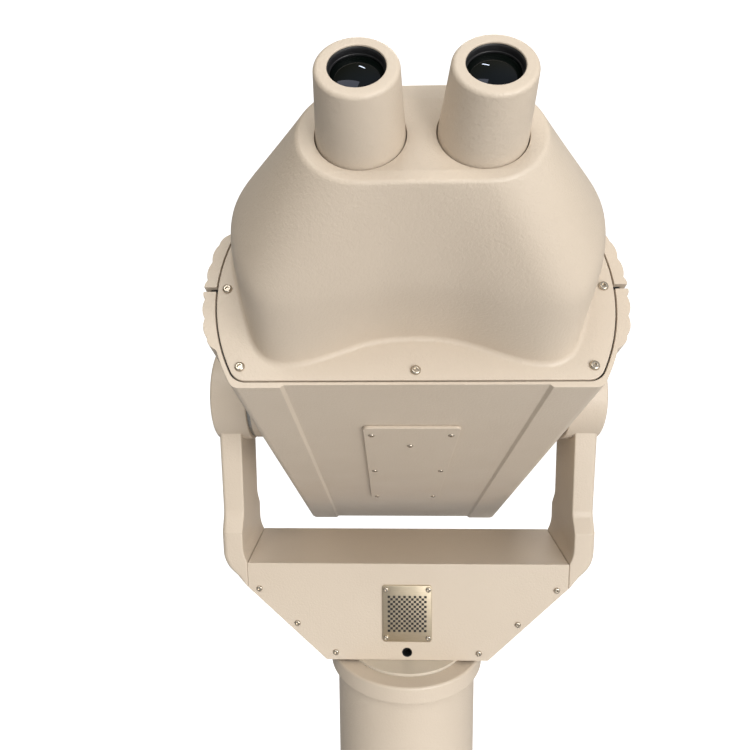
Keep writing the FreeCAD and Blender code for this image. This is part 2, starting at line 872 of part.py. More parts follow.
def tilt_bushes():
    bushes = []
    for side, along in ((-1, "-X"), (1, "X")):
        seat = (f"{side} * (hub_inner + fit_gap)", 0, "tilt_height")
        ring = cylinder("hub_bore - press_gap", "tilt_bush_length", seat, along)
        bore = cylinder("journal_radius + running_gap", "tilt_bush_length", seat, along)
        bushes.append(cut(ring, bore))
    sub_part("tilt_bushes", "yoke", group(bushes))


def tilt_washers():
    """Steel thrust ring on the inner face of each hub, a running gap away from the boss."""
    rings = []
    for side, along in ((-1, "X"), (1, "-X")):
        face = (f"{side} * hub_inner", 0, "tilt_height")
        width = "hub_inner - boss_outer - running_gap"
        rings.append(cut(
            cylinder("tilt_washer_radius", width, face, along),
            cylinder("tilt_washer_bore", width, face, along),
        ))
    sub_part("tilt_washers", "yoke", group(rings))


def tilt_stop_pin():
    tip = -154
    pin = cylinder("stop_pin_radius", 18, (tip, 0, "tilt_height - stop_radius"), "-X")
    sub_part("tilt_stop_pin", "yoke", pin)


# ---------------------------------------------------------------- head housing


def barrel_side(grow, reach):
    """X of the bulging side wall, grown outwards, at a distance reach from the parting plane."""
    return dim("side_centre") + math.sqrt((dim("side_radius") + grow) ** 2 - reach**2)


def barrel_corner(grow, flat_grow, radius):
    """Corner round between side wall and flat: (side point, mid point, flat point)."""
    big = dim("side_radius") + grow
    flat = dim("cover_half_height") + flat_grow
    centre_w = flat - radius
    centre_x = dim("side_centre") + math.sqrt((big - radius) ** 2 - centre_w**2)
    lean = math.atan2(centre_w, centre_x - dim("side_centre"))
    side = (centre_x + radius * math.cos(lean), centre_w + radius * math.sin(lean))
    mean = (lean + math.pi / 2) / 2
    middle = (centre_x + radius * math.cos(mean), centre_w + radius * math.sin(mean))
    return side, middle, (centre_x, flat)


def to_v(points, half):
    """Points given by distance from the parting plane, put in the upper (1) or lower (-1) half."""
    return [(x, dim("parting") + half * w) for x, w in points]


def barrel_outline(grow):
    """Closed outline of the cover, grown outwards."""
    side, middle, flat = barrel_corner(grow, grow, dim("cover_corner") + grow)
    bulge = (barrel_side(grow, 0), 0)
    lower = to_v([side, middle, flat], -1)
    upper = to_v([side, middle, flat], 1)
    bulge = to_v([bulge], 1)[0]
    shapes = []
    for flip in (1, -1):
        low = [(flip * x, v) for x, v in lower]
        high = [(flip * x, v) for x, v in upper]
        shapes.append(arc(low[2], low[1], low[0]))
        shapes.append(arc(low[0], (flip * bulge[0], bulge[1]), high[0]))
        shapes.append(arc(high[0], high[1], high[2]))
    shapes.append(line(lower[2], (-lower[2][0], lower[2][1])))
    shapes.append(line(upper[2], (-upper[2][0], upper[2][1])))
    return shapes


def polar(radius, degrees):
    """Point on the grip's circles, by angle from the parting plane."""
    turn = math.radians(degrees)
    return (dim("side_centre") + radius * math.cos(turn), radius * math.sin(turn))


def grip_arcs(half):
    """Finger scallops from the parting gap to the end of the grip, right-hand side."""
    pitch = dim("grip_pitch")
    peak = dim("grip_peak")
    valley = dim("grip_valley")
    wall = dim("side_radius") + dim("housing_wall")
    first = math.degrees(math.asin(dim("parting_half_gap") / peak))
    end = dim("grip_end")
    nodes = [[polar(peak, first), polar(peak - 0.1, pitch * 0.3), polar(valley, pitch * 0.5)]]
    for k in (1, 2):
        before = polar(valley, pitch * (k - 0.5))
        after = polar(valley, pitch * (k + 0.5))
        nodes.append([before, polar(peak, pitch * k), after])
    tail = [polar(valley - 0.4, pitch * 2.85), polar(valley - 3, end + 0.2)]
    nodes.append([polar(valley, pitch * 2.5)] + tail)
    arcs = [arc(*to_v(points, half)) for points in nodes]
    foot = polar(wall, end + 1.1)
    arcs.append(line(*to_v([nodes[-1][2], foot], half)))
    return arcs, nodes[0][0], foot


def side_arc(start, end, grow, half):
    """Stretch of the bulging side wall between two of its points."""
    mean_w = (start[1] + end[1]) / 2
    return arc(*to_v([start, (barrel_side(grow, mean_w), mean_w), end], half))


def housing_section(half):
    """Section of one housing half: barrel wall, flat with a sunk panel, and finger grips."""
    wall = dim("housing_wall")
    gap = dim("cover_gap")
    cut_w = dim("parting_half_gap")
    right, start, foot = grip_arcs(half)
    outer = barrel_corner(wall, dim("housing_floor"), dim("housing_corner"))
    inner = barrel_corner(gap, gap, dim("cover_corner") + gap)
    outer_side, outer_flat = outer[0], outer[2]
    inner_side, inner_flat = inner[0], inner[2]
    right.append(side_arc(foot, outer_side, wall, half))
    right.append(arc(*to_v(outer, half)))
    panel = dim("panel_half_width")
    sunk = outer_flat[1] - dim("panel_recess")
    step_foot = (panel - dim("panel_step_width"), sunk)
    steps = to_v([outer_flat, (panel, outer_flat[1]), step_foot], half)
    right += [line(steps[0], steps[1]), line(steps[1], steps[2])]
    inner_start = (barrel_side(gap, cut_w), cut_w)
    right.append(line(*to_v([inner_start, start], half)))
    right.append(side_arc(inner_start, inner_side, gap, half))
    right.append(arc(*to_v(inner, half)))
    shapes = right + [mirrored(shape) for shape in right]
    inner = to_v([inner_flat], half)[0]
    shapes.append(line(inner, (-inner[0], inner[1])))
    shapes.append(line(steps[2], (-steps[2][0], steps[2][1])))
    return shapes


def mirrored(shape):
    """The same line or arc on the left-hand side."""
    middle = shape.value((shape.FirstParameter + shape.LastParameter) / 2)
    start, middle, end = [(-p.x, p.y) for p in (shape.StartPoint, middle, shape.EndPoint)]
    if isinstance(shape, Part.LineSegment):
        return line(start, end)
    return arc(start, middle, end)


def housing_half(label, half):
    """Extruded half shell; the lower one has the service opening under the access plate."""
    body = plate("XZ_Plane", "rim - housing_length", "housing_length", housing_section(half))
    pocket(body, "YZ_Plane", 0, [], [(0, 0, dim("trunnion_spigot") + 3 * dim("fit_gap"))])
    if half > 0:
        sub_part(label, "head", group([body]))
        return
    below_floor = -90
    tools = [cylinder(CLEARANCE_HOLE["access"], 8, (x, -u, below_floor)) for x, u in ACCESS_SCREWS]
    tools.append(box(48, 190, 12, (-24, -120, below_floor)))
    sub_part(label, "head", cut(body, *tools))


def parting_seals():
    """Strips in the gap between the housing halves, in front of and behind the trunnions."""
    width = 4.4
    middle = barrel_side(dim("cover_gap"), 0) + 2.4
    strips = []
    for side in (-1, 1):
        start = side * middle - width / 2
        for u_low, u_high in ((-238, -31), (31, 229)):
            at = (start, -u_high, "parting - parting_half_gap")
            strips.append(box(width, u_high - u_low, "2 * parting_half_gap", at))
    sub_part("parting_seals", "head", group(strips))


def bulkhead(label, offset, circles):
    """Frame plate inside the housing that takes a cover's screws."""
    outer = barrel_outline(dim("cover_gap") - dim("fit_gap"))
    body = plate("XZ_Plane", offset, "bulkhead_thickness", outer, circles)
    half_width = dim("objective_half_spacing") + dim("window_radius") + 1
    half_height = dim("window_radius") + 0.5
    corner = 30
    window = centred_rectangle(half_width, half_height, corner, (0, dim("objective_height")))
    pocket(body, "XZ_Plane", 0, window)
    sub_part(label, "head", body)


def screw_circles(radius):
    return [(x, v, radius) for x, v in cover_screw_places()]


# ---------------------------------------------------------------- user-side cover


# Right-hand points of the hump in X and v, from the middle of its lower edge to the middle of its
# upper edge.  The plateau has as many points, so that the sections blend point by point.
HUMP_FOOT = [
    (0, -52), (28, -54.6), (53, -63), (74, -70), (89, -71.4), (101, -66.8), (109.5, -55),
    (115.5, -39), (121.5, -20), (127.5, 0), (130.8, 17), (128.6, 31), (119.5, 42.5),
    (103, 49), (78, 50), (40, 50), (0, 50),
]
HUMP_SHOULDER = [
    (0, -49), (25, -50.6), (48, -55.6), (66, -59), (80, -60.2), (94, -57), (103.5, -49),
    (111, -36), (116.5, -19), (119, -2), (118, 15), (112.6, 29), (102, 40),
    (86, 46), (66, 48), (34, 48.4), (0, 48.4),
]


def hump_plateau():
    """Right-hand half of the plateau's outline: straight edges and a half-round end."""
    low = dim("plateau_low")
    high = dim("plateau_high")
    bend = (high - low) / 2
    flat = dim("plateau_half_width") - bend
    points = [(flat * part, low) for part in (0, 0.34, 0.68, 0.9)]
    for k in range(10):
        turn = math.radians(-90 + 20 * k)
        points.append((flat + bend * math.cos(turn), low + bend + bend * math.sin(turn)))
    return points + [(flat * part, high) for part in (0.8, 0.4, 0)]


def hump_points(height, inset):
    """Closed section of the hump at a height above the rim, moved in by inset."""
    knee = dim("hump_shoulder")
    soft = dim("hump_soft")
    span = dim("hump_height") - knee
    rise = ((height - knee) + math.hypot(height - knee, soft)) / 2
    ground = (math.hypot(knee, soft) - knee) / 2
    summit = (span + math.hypot(span, soft)) / 2
    upper = (rise - ground) / (summit - ground)
    lower = (height - upper * span) / knee
    right = []
    for a, b, c in zip(HUMP_FOOT, HUMP_SHOULDER, hump_plateau()):
        right.append(tuple(a[i] + (b[i] - a[i]) * lower + (c[i] - b[i]) * upper for i in (0, 1)))
    left = [(-x, y) for x, y in reversed(right[1:-1])]
    return inset_loop(right + left, inset)


def inset_loop(loop, inset):
    """An anticlockwise closed loop of points moved inwards."""
    moved = []
    for i, (x, y) in enumerate(loop):
        before = loop[i - 1]
        after = loop[(i + 1) % len(loop)]
        along = Vector(after[0] - before[0], after[1] - before[1], 0).normalize()
        moved.append((x - along.y * inset, y + along.x * inset))
    return moved


def hump_wire(height, inset):
    """The section as a closed smooth curve across the head, at u = rim + height."""
    y = -dim("rim") - height
    points = [Vector(x, y, z) for x, z in hump_points(height, inset)]
    curve = Part.BSplineCurve()
    curve.interpolate(Points=points, PeriodicFlag=True)
    return Part.Wire(curve.toShape())


def hump(wall, base, flare):
    """Solid of the hump's outside (wall 0) or its hollow, starting at height base."""
    top = dim("hump_height") - wall
    edge = dim("plateau_edge")
    heights = [(base, flare), (base + 1.2, flare * 0.35), (base + 4, 0)]
    heights += [(z, 0) for z in (16, 32, 46, 54, 60, 66, 74, 88, 108)]
    for turn in (0, 0.4, 0.8, 1.15, 1.4, math.pi / 2):
        heights.append((top - edge + edge * math.sin(turn), edge * (1 - math.cos(turn))))
    wires = [hump_wire(z, wall + inset) for z, inset in heights]
    return Part.makeLoft(wires, True, False)


def rear_cover():
    """Cast cover of the user's side: flange, hollow hump and the two eyepiece holes."""
    circles = screw_circles(CLEARANCE_HOLE["cover"])
    flange = plate("XZ_Plane", "rim - cover_flange", "cover_flange", barrel_outline(0), circles)
    foot_flare = -3.2
    outside = solid(hump(0, 0, foot_flare))
    hollow = solid(hump(dim("hump_wall"), -dim("cover_flange") - 1, 0))
    bores = []
    for side in (-1, 1):
        at = u_at(side * dim("eye_half_spacing"), "rim + 90", "eye_height")
        bores.append(cylinder("eyepiece_hole", 60, at, "U"))
    sub_part("rear_cover", "head", cut(fuse(flange, outside), hollow, *bores))


def cover_screws():
    places = [((x, "-rim", v), "U") for x, v in cover_screw_places()]
    places += [((x, "housing_length - rim", v), "Y") for x, v in cover_screw_places()]
    screws("cover_screws", "head", "cover", places)


# ---------------------------------------------------------------- objective side


def objective_places():
    side = dim("objective_half_spacing")
    return [(s * side, dim("objective_height")) for s in (-1, 1)]


def front_cover():
    """Flat cover of the far side with a short hood around each window."""
    bore = dim("window_radius") - dim("window_lip")
    circles = screw_circles(CLEARANCE_HOLE["cover"])
    circles += [(x, v, bore) for x, v in objective_places()]
    body = plate("XZ_Plane", "rim - housing_length", "front_flange", barrel_outline(0), circles)
    hoods = []
    clear = []
    for x, v in objective_places():
        at = (x, "housing_length - rim - front_flange", v)
        hoods.append(cylinder("window_radius + window_lip", "front_flange + hood_length", at, "Y"))
        clear.append(cylinder(bore, "2 * front_flange + hood_length", at, "Y"))
    sub_part("front_cover", "head", cut(fuse(body, *hoods), *clear))


def front_windows():
    back = "housing_length - rim - front_flange - window_thickness"
    panes = []
    for x, v in objective_places():
        panes.append(cylinder("window_radius", "window_thickness", (x, back, v), "Y"))
    sub_part("front_windows", "head", group(panes))


def objective_tubes():
    tubes = []
    for x, v in objective_places():
        start = (x, "tube_start", v)
        tube = cylinder("tube_radius", "tube_length", start, "Y")
        bore = cylinder("tube_radius - tube_wall", "tube_length", start, "Y")
        tubes.append(cut(tube, bore))
    sub_part("objective_tubes", "head", group(tubes))


def objective_lenses():
    """Biconvex lens inside the far end of each tube."""
    lenses = []
    radius = "objective_lens_radius"
    crown = "0.75 * objective_lens_radius"
    for x, v in objective_places():
        near = (x, "objective_plane", v)
        far = (x, "objective_plane + objective_thickness", v)
        lenses.append(fuse(
            cylinder(radius, "objective_thickness", near, "Y"),
            cone(radius, crown, "objective_crown", far, "Y"),
            cone(radius, crown, "objective_crown", near, "U"),
        ))
    sub_part("objective_lenses", "head", group(lenses))


def tube_saddles():
    """Blocks on the optical bench that cradle both tubes."""
    saddles = []
    width = 206
    length = 16
    height = 30
    for y in (-50, 150):
        block = box(width, length, height, (-width / 2, y, "bench_top"))
        rounds = []
        for x, v in objective_places():
            rounds.append(cylinder("tube_radius + running_gap", length, (x, y, v), "Y"))
        saddles.append(cut(block, *rounds))
    sub_part("tube_saddles", "head", group(saddles))


def optical_bench():
    """Plate along the housing with six lightening windows."""
    bottom = "bench_top - bench_thickness"
    width = 236
    floor = box(width, 444, "bench_thickness", (-width / 2, -218, bottom))
    windows = []
    for x in (-20, -95, 55):
        for y in (-30, 80):
            windows.append(box(40, 90, "bench_thickness", (x, y, bottom)))
    sub_part("optical_bench", "head", cut(floor, *windows))


def side_plates():
    """Plates inside the housing walls that carry the trunnions."""
    plates = []
    length = 150
    height = 90
    bottom = -52
    cable_hole_radius = 12
    for side, along in ((-1, "-X"), (1, "X")):
        x_low = "side_plate_inner" if side > 0 else "-side_plate_outer"
        width = "side_plate_outer - side_plate_inner"
        block = box(width, length, height, (x_low, -length / 2, bottom))
        start = f"{side} * (side_plate_inner - 1)"
        depth = "side_plate_outer - side_plate_inner + 2"
        tools = [cylinder(cable_hole_radius, depth, (start, 0, 0), along)]
        for y, z in trunnion_bolt_places():
            tools.append(cylinder(CLEARANCE_HOLE["trunnion"], depth, (start, y, z), along))
        plates.append(cut(block, *tools))
    sub_part("side_plates", "head", group(plates))


def trunnion(side):
    """Turned trunnion: spigot through the housing wall, boss, journal and threaded end."""
    along = "X" if side > 0 else "-X"
    steps = [
        ("trunnion_spigot", "side_plate_outer", "boss_inner"),
        ("boss_radius", "boss_inner", "boss_outer"),
        ("journal_radius", "boss_outer", "journal_end"),
        ("tilt_thread_radius", "journal_end", "(journal_end + tilt_thread_length)"),
    ]
    pieces = []
    for radius, start, end in steps:
        pieces.append(cylinder(radius, f"{end} - {start}", (f"{side} * {start}", 0, 0), along))
    shaft = fuse(*pieces)
    tools = [cylinder("trunnion_bore", 80, (f"{side} * side_plate_inner", 0, 0), along)]
    for y, z in trunnion_bolt_places():
        at = (f"{side} * (side_plate_outer - 1)", y, z)
        tools.append(cylinder(TAPPED_HOLE["trunnion"], 19, at, along))
    if side < 0:
        tools.append(stop_slot())
    sub_part("right_trunnion" if side > 0 else "left_trunnion", "head", cut(shaft, *tools))


def stop_slot():
    """Arc slot in the left boss; the fixed stop pin runs in it and ends the tilt."""
    spare = 2.5
    play = 0.2
    depth = 6.4
    pin_span = math.degrees(math.asin((dim("stop_pin_radius") + play) / dim("stop_radius")))
    sweep = dim("tilt_up") + dim("tilt_down") + 2 * (pin_span + spare)
    first = -90 - dim("tilt_down") - pin_span - spare
    outer = cylinder(f"stop_radius + stop_pin_radius + {play}", depth, sweep=sweep)
    inner = cylinder(f"stop_radius - stop_pin_radius - {play}", depth)
    lying = Rotation(Vector(0, 1, 0), Vector(0, 0, 1), Vector(1, 0, 0), "XYZ")
    spin = Rotation(Vector(1, 0, 0), first)
    for piece in (outer, inner):
        for axis in "xyz":
            piece.setExpression(f"Placement.Base.{axis}", None)
        piece.Placement = Placement(Vector(-dim("boss_outer") - 1, 0, 0), spin * lying)
    return cut(outer, inner)


def trunnion_bolts():
    places = []
    for side, along in ((-1, "X"), (1, "-X")):
        for y, z in trunnion_bolt_places():
            places.append(((f"{side} * side_plate_inner", y, z), along))
    screws("trunnion_bolts", "head", "trunnion", places)


def tilt_nuts():
    nuts = []
    for side, along in ((-1, "-X"), (1, "X")):
        seat = (f"{side} * journal_end", 0, 0)
        washer_face = (f"{side} * (journal_end + tilt_nut_washer)", 0, 0)
        washer = cylinder("tilt_nut_washer_radius", "tilt_nut_washer", seat, along)
        hexagonal = hexagon("tilt_nut_radius", "tilt_nut_height", washer_face, along)
        bore = cylinder("tilt_thread_radius", "tilt_nut_washer + tilt_nut_height", seat, along)
        nuts.append(cut(fuse(washer, hexagonal), bore))
    sub_part("tilt_nuts", "head", group(nuts))


def prism_housings():
    """Box behind each objective tube, open to the tube and to the eyepiece."""
    wall = 3
    width = 96
    length = 70
    height = 100
    nearest = 14
    start = -150
    bottom = -62
    boxes = []
    for side, (x, v) in zip((-1, 1), objective_places()):
        left = nearest if side > 0 else -nearest - width
        outer = box(width, length, height, (left, start, bottom))
        hollow = box(
            width - 2 * wall, length - 2 * wall, height - 2 * wall,
            (left + wall, start + wall, bottom + wall),
        )
        towards_tube = cylinder(42, 10, (x, start + length - 5, v), "Y")
        eye = u_at(side * dim("eye_half_spacing"), -start - 7, "eye_height")
        towards_eye = cylinder("light_path_radius", 10, eye, "U")
        boxes.append(cut(outer, hollow, towards_tube, towards_eye))
    sub_part("prism_housings", "head", group(boxes))


def prisms():
    """Two crossed right-angle prisms on each side fold the light to the eyepiece."""
    height = Vector(0, 0, 44)
    wedges = []
    for side in (-1, 1):
        for corner in (Vector(side * 44, -146, -56), Vector(side * 20, -112, -18)):
            run = Vector(side * 48, 0, 0)
            back = Vector(side * 24, 26, 0)
            wire = Part.makePolygon([corner, corner + run, corner + back, corner])
            wedges.append(solid(Part.Face(wire).extrude(height)))
    sub_part("prisms", "head", group(wedges))


# ---------------------------------------------------------------- shutter and eyepieces


def on_eye_axis(side, u):
    """Point on an eyepiece's axis (side -1 or 1) or between the two (side 0)."""
    return u_at(side * dim("eye_half_spacing"), u, "eye_height")


def light_paths(radius):
    return [(side * dim("eye_half_spacing"), dim("eye_height"), radius) for side in (-1, 1)]


def shutter_bracket():
    motor_hole = (0, dim("eye_height"), 10.2)
    circles = light_paths(dim("light_path_radius")) + [motor_hole]
    outline = centred_rectangle(66, 32, 4, (0, dim("eye_height")))
    thickness = "shutter_bracket_face - shutter_bracket_start"
    body = plate("XZ_Plane", "shutter_bracket_start", thickness, outline, circles)
    sub_part("shutter_bracket", "head", body)


def shutter_motor():
    """Round can behind the bracket with a mounting flange on its face."""
    can_radius = 10
    can_length = 24
    flange_radius = 12
    flange_thickness = 3
    body = fuse(
        cylinder(can_radius, can_length, on_eye_axis(0, f"shutter_bracket_face + 3 - {can_length}"), "U"),
        cylinder(flange_radius, flange_thickness, on_eye_axis(0, "shutter_bracket_face"), "U"),
    )
    socket = cylinder("shutter_spindle_radius + running_gap", 16, on_eye_axis(0, "146"), "U")
    sub_part("shutter_motor", "head", cut(body, socket))


def shutter_blade():
    """Two vanes on one spindle: at rest they close both light paths."""
    spacing = dim("eye_half_spacing")
    thickness = dim("vane_thickness")
    bar_height = 9
    vanes = []
    for side in (-1, 1):
        vanes.append(cylinder("vane_radius", "vane_thickness", on_eye_axis(side, "shutter_plane"), "U"))
    corner = (-spacing, "-shutter_plane - vane_thickness", f"eye_height - {bar_height / 2}")
    bar = box(2 * spacing, thickness, bar_height, corner)
    spindle = cylinder("shutter_spindle_radius", 32, on_eye_axis(0, "147"), "U")
    collar = cylinder(6, 8, on_eye_axis(0, "shutter_plane - 4"), "U")
    sub_part("shutter_blade", "head", fuse(*vanes, bar, spindle, collar))


def eyepiece_plate():
    outline = centred_rectangle(66, 36, 4, (0, dim("eye_height")))
    thickness = "eyepiece_plate_face - eyepiece_plate_start"
    circles = light_paths(dim("light_path_radius") - 0.5)
    body = plate("XZ_Plane", "eyepiece_plate_start", thickness, outline, circles)
    sub_part("eyepiece_plate", "head", body)


def eyepiece_posts():
    """Spacers between the shutter bracket and the eyepiece plate."""
    radius = 4
    length = "eyepiece_plate_start - shutter_bracket_face"
    posts = []
    for i in (-1, 1):
        for j in (-1, 1):
            at = u_at(i * 57, "shutter_bracket_face", dim("eye_height") + j * 26)
            posts.append(cylinder(radius, length, at, "U"))
    sub_part("eyepiece_posts", "head", group(posts))


def focus_guides():
    """Fixed sleeves in which the lens cells slide and on which the eyepieces turn."""
    foot_radius = 26
    foot_thickness = 6
    guides = []
    for side in (-1, 1):
        start = on_eye_axis(side, "eyepiece_plate_face")
        length = "guide_end - eyepiece_plate_face"
        sleeve = fuse(
            cylinder("guide_radius", length, start, "U"),
            cylinder(foot_radius, foot_thickness, start, "U"),
        )
        guides.append(cut(sleeve, cylinder("cell_radius + running_gap", length, start, "U")))
    sub_part("focus_guides", "head", group(guides))


def lens_cell(side):
    """Tube that slides in the guide and carries the eyepiece lenses."""
    start = on_eye_axis(side, "cell_start")
    tube = cylinder("cell_radius", "cell_end - cell_start", start, "U")
    bore = cylinder("cell_bore", "cell_end - cell_start", start, "U")
    sub_part("right_lens_cell" if side > 0 else "left_lens_cell", "head", cut(tube, bore))


def eye_lens(side):
    """Field lens and eye lens of one eyepiece."""
    radius = "cell_bore - press_gap"
    glasses = []
    for u in ("cell_start + 13", "cell_end - 9"):
        disc = cylinder(radius, "lens_thickness", on_eye_axis(side, u), "U")
        crown_at = on_eye_axis(side, f"{u} + lens_thickness")
        crown = cone(radius, "0.6 * cell_bore", "lens_crown", crown_at, "U")
        glasses.append(fuse(disc, crown))
    sub_part("right_eye_lens" if side > 0 else "left_eye_lens", "head", group(glasses))


def eyepiece_barrel(side):
    """Turning eyepiece: runs on the guide and the lens cell, and has a rounded rim."""
    shoulder = "barrel_tip_radius - 0.35 * barrel_rim"
    steps = [
        ("barrel_radius", "barrel_radius", "barrel_start", "(rim + hump_height)"),
        ("barrel_radius", "barrel_tip_radius", "(rim + hump_height)", "(eye_end - barrel_rim)"),
        ("barrel_tip_radius", shoulder, "(eye_end - barrel_rim)", "(eye_end - 0.4 * barrel_rim)"),
        (shoulder, "barrel_tip_radius - barrel_rim", "(eye_end - 0.4 * barrel_rim)", "eye_end"),
    ]
    pieces = []
    for radius, tip_radius, start, end in steps:
        at = on_eye_axis(side, start)
        if radius == tip_radius:
            pieces.append(cylinder(radius, f"{end} - {start}", at, "U"))
        else:
            pieces.append(cone(radius, tip_radius, f"{end} - {start}", at, "U"))
    guide_room = "guide_end + 4 - barrel_start"
    cell_room = "cell_end + 3 * fit_gap - guide_end"
    inside = [
        cylinder("guide_radius + running_gap", guide_room, on_eye_axis(side, "barrel_start"), "U"),
        cylinder("cell_radius + running_gap", cell_room, on_eye_axis(side, "guide_end"), "U"),
        cylinder("barrel_bore", "eye_end - guide_end", on_eye_axis(side, "guide_end"), "U"),
    ]
    sub_part("right_eyepiece" if side > 0 else "left_eyepiece", "head", cut(fuse(*pieces), *inside))


ACCESS_FACE = "parting - cover_half_height - housing_floor + panel_recess - access_thickness"


def access_plate():
    low = dim("access_start")
    high = dim("access_end")
    corner = 4
    holes = [(x, -u, CLEARANCE_HOLE["access"]) for x, u in ACCESS_SCREWS]
    outline = centred_rectangle(
        dim("access_half_width"), (high - low) / 2, corner, (0, -(high + low) / 2)
    )
    body = plate("XY_Plane", ACCESS_FACE, "access_thickness", outline, holes)
    sub_part("access_plate", "head", body)


def access_screws():
    places = [((x, -u, ACCESS_FACE), "-Z") for x, u in ACCESS_SCREWS]
    screws("access_plate_screws", "head", "access", places)


# ---------------------------------------------------------------- the whole product

base_flange()
column_tube()
column_cap()
thrust_washer()
pan_spindle()
spindle_bolts()
pan_nut()
pan_washer()

yoke_base()
cover_plate("front_plate", "base_depth / 2 - plate_thickness", True)
cover_plate("rear_plate", "-base_depth / 2", False)
payment_plate()
yoke_screws()
payment_screws()
arm_bolts()
pan_bushes()
pan_drag_screw()
battery_pack()
control_board()
signal_cable()
arm(-1)
arm(1)
hub_caps()
tilt_bushes()
tilt_washers()
tilt_stop_pin()

housing_half("housing_lower", -1)
housing_half("housing_upper", 1)
parting_seals()
tapped = screw_circles(TAPPED_HOLE["cover"])
bulkhead("rear_bulkhead", "rim - cover_flange - bulkhead_thickness", tapped)
bulkhead("front_bulkhead", "rim - housing_length + front_flange", tapped)
rear_cover()
cover_screws()
front_cover()
front_windows()
objective_tubes()
objective_lenses()
tube_saddles()
optical_bench()
side_plates()
trunnion(-1)
trunnion(1)
trunnion_bolts()
tilt_nuts()
prism_housings()
prisms()
shutter_bracket()
shutter_motor()
shutter_blade()
eyepiece_plate()
eyepiece_posts()
focus_guides()
for hand in (-1, 1):
    lens_cell(hand)
    eye_lens(hand)
    eyepiece_barrel(hand)
access_plate()
access_screws()

doc.recompute()
for obj in doc.Objects:
    bad = [state for state in obj.State if state in ("Invalid", "Error")]
    assert not bad, f"{obj.Name} ({obj.Label}) is {bad}"
for obj in SUB_PARTS:
    assert not obj.Shape.isNull() and obj.Shape.isValid(), f"{obj.Label} has no valid shape"

os.makedirs("parts", exist_ok=True)
for obj in SUB_PARTS:
    obj.Shape.exportStep(f"parts/{obj.Label}.step")
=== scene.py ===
import json
import math
from functools import partial

import bmesh
import bpy
import numpy as np
from mathutils import Matrix, Vector
from mathutils.geometry import tessellate_polygon


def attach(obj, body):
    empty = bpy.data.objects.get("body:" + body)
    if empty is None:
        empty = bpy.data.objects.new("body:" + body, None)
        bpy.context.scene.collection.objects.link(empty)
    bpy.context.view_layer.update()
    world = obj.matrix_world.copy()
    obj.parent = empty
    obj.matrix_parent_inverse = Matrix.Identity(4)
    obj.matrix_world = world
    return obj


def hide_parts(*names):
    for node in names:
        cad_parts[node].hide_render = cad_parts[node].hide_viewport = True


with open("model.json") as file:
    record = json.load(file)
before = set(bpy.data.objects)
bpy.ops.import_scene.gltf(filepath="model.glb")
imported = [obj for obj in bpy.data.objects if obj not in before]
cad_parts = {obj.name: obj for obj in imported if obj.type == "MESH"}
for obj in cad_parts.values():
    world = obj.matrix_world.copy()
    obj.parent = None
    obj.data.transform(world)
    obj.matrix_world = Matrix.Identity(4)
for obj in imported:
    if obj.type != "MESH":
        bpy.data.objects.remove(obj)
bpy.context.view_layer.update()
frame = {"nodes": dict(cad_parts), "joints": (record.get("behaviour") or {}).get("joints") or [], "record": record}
NODES = frame["nodes"]
JOINTS = {joint["name"]: joint for joint in frame["joints"]}
SLOTS = {part["node"]: part["material_slot"] for part in frame["record"]["subparts"]}
MM = 0.001  # every named size below is in millimetres unless it says otherwise
SAME_POINT = 0.001 * MM  # points closer than this, in metres, are one point
CAD_SAME_POINT = 0.002 * MM

# The yoke's axes have their origin on top of the column. The head's have it on the tilt axis, with X across,
# U along the sight line towards the user and V up through the housing.
X_AXIS = Vector((1, 0, 0))
Y_AXIS = Vector((0, 1, 0))
Z_AXIS = Vector((0, 0, 1))
U_AXIS = Vector(JOINTS["shutter_turn"]["axis"]).normalized()
V_AXIS = U_AXIS.cross(X_AXIS)
TILT = Vector(JOINTS["tilt"]["pos_m"])
YOKE = Vector((0, 0, JOINTS["pan"]["pos_m"][2]))


# ---------------------------------------------------------------- measuring the CAD


def extent(node, axis, origin=TILT):
    """Lowest and highest reach of a CAD node along an axis, from an origin."""
    reach = [(v.co - origin).dot(axis) for v in NODES[node].data.vertices]
    return min(reach) / MM, max(reach) / MM


def centre_of(span):
    return (span[0] + span[1]) / 2


def head_point(x, u, v):
    return TILT + (X_AXIS * x + U_AXIS * u + V_AXIS * v) * MM


def yoke_point(x, y, z):
    return YOKE + Vector((x, y, z)) * MM


def islands(node):
    """The separate pieces of a CAD node, each as a list of points."""
    mesh = bmesh.new()
    mesh.from_mesh(NODES[node].data)
    bmesh.ops.remove_doubles(mesh, verts=mesh.verts, dist=SAME_POINT)
    left = set(mesh.verts)
    groups = []
    while left:
        queue = [min(left, key=lambda v: v.index)]
        left.discard(queue[0])
        members = []
        while queue:
            vert = queue.pop()
            members.append(vert)
            for edge in vert.link_edges:
                other = edge.other_vert(vert)
                if other in left:
                    left.discard(other)
                    queue.append(other)
        groups.append([v.co.copy() for v in members])
    mesh.free()
    return sorted(groups, key=lambda points: tuple(min(p[i] for p in points) for i in range(3)))


# ---------------------------------------------------------------- mesh tools

FLAT_ANGLE = 0.8  # degrees; CAD faces that meet at less are one flat face
HARD_ANGLE = 28  # degrees; CAD edges sharper than this are rounded
SOFT_SHARP = 30  # degrees; edges of a rounded CAD node that stay sharp in the shading
SEAM_REACH = 2.5  # an end_gap moves what lies this close to the ends
QUARTER_TURN = [math.radians(15 * k) for k in range(1, 7)]


def linked(name, data):
    """A new object in the scene that holds a mesh, a light or a camera."""
    obj = bpy.data.objects.new(name, data)
    bpy.context.scene.collection.objects.link(obj)
    return obj


def enrol(obj, body, stands_for=None):
    """Ride a piece on its body; where it stands for a CAD node, that node is hidden."""
    if stands_for:
        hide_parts(stands_for)
    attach(obj, body)


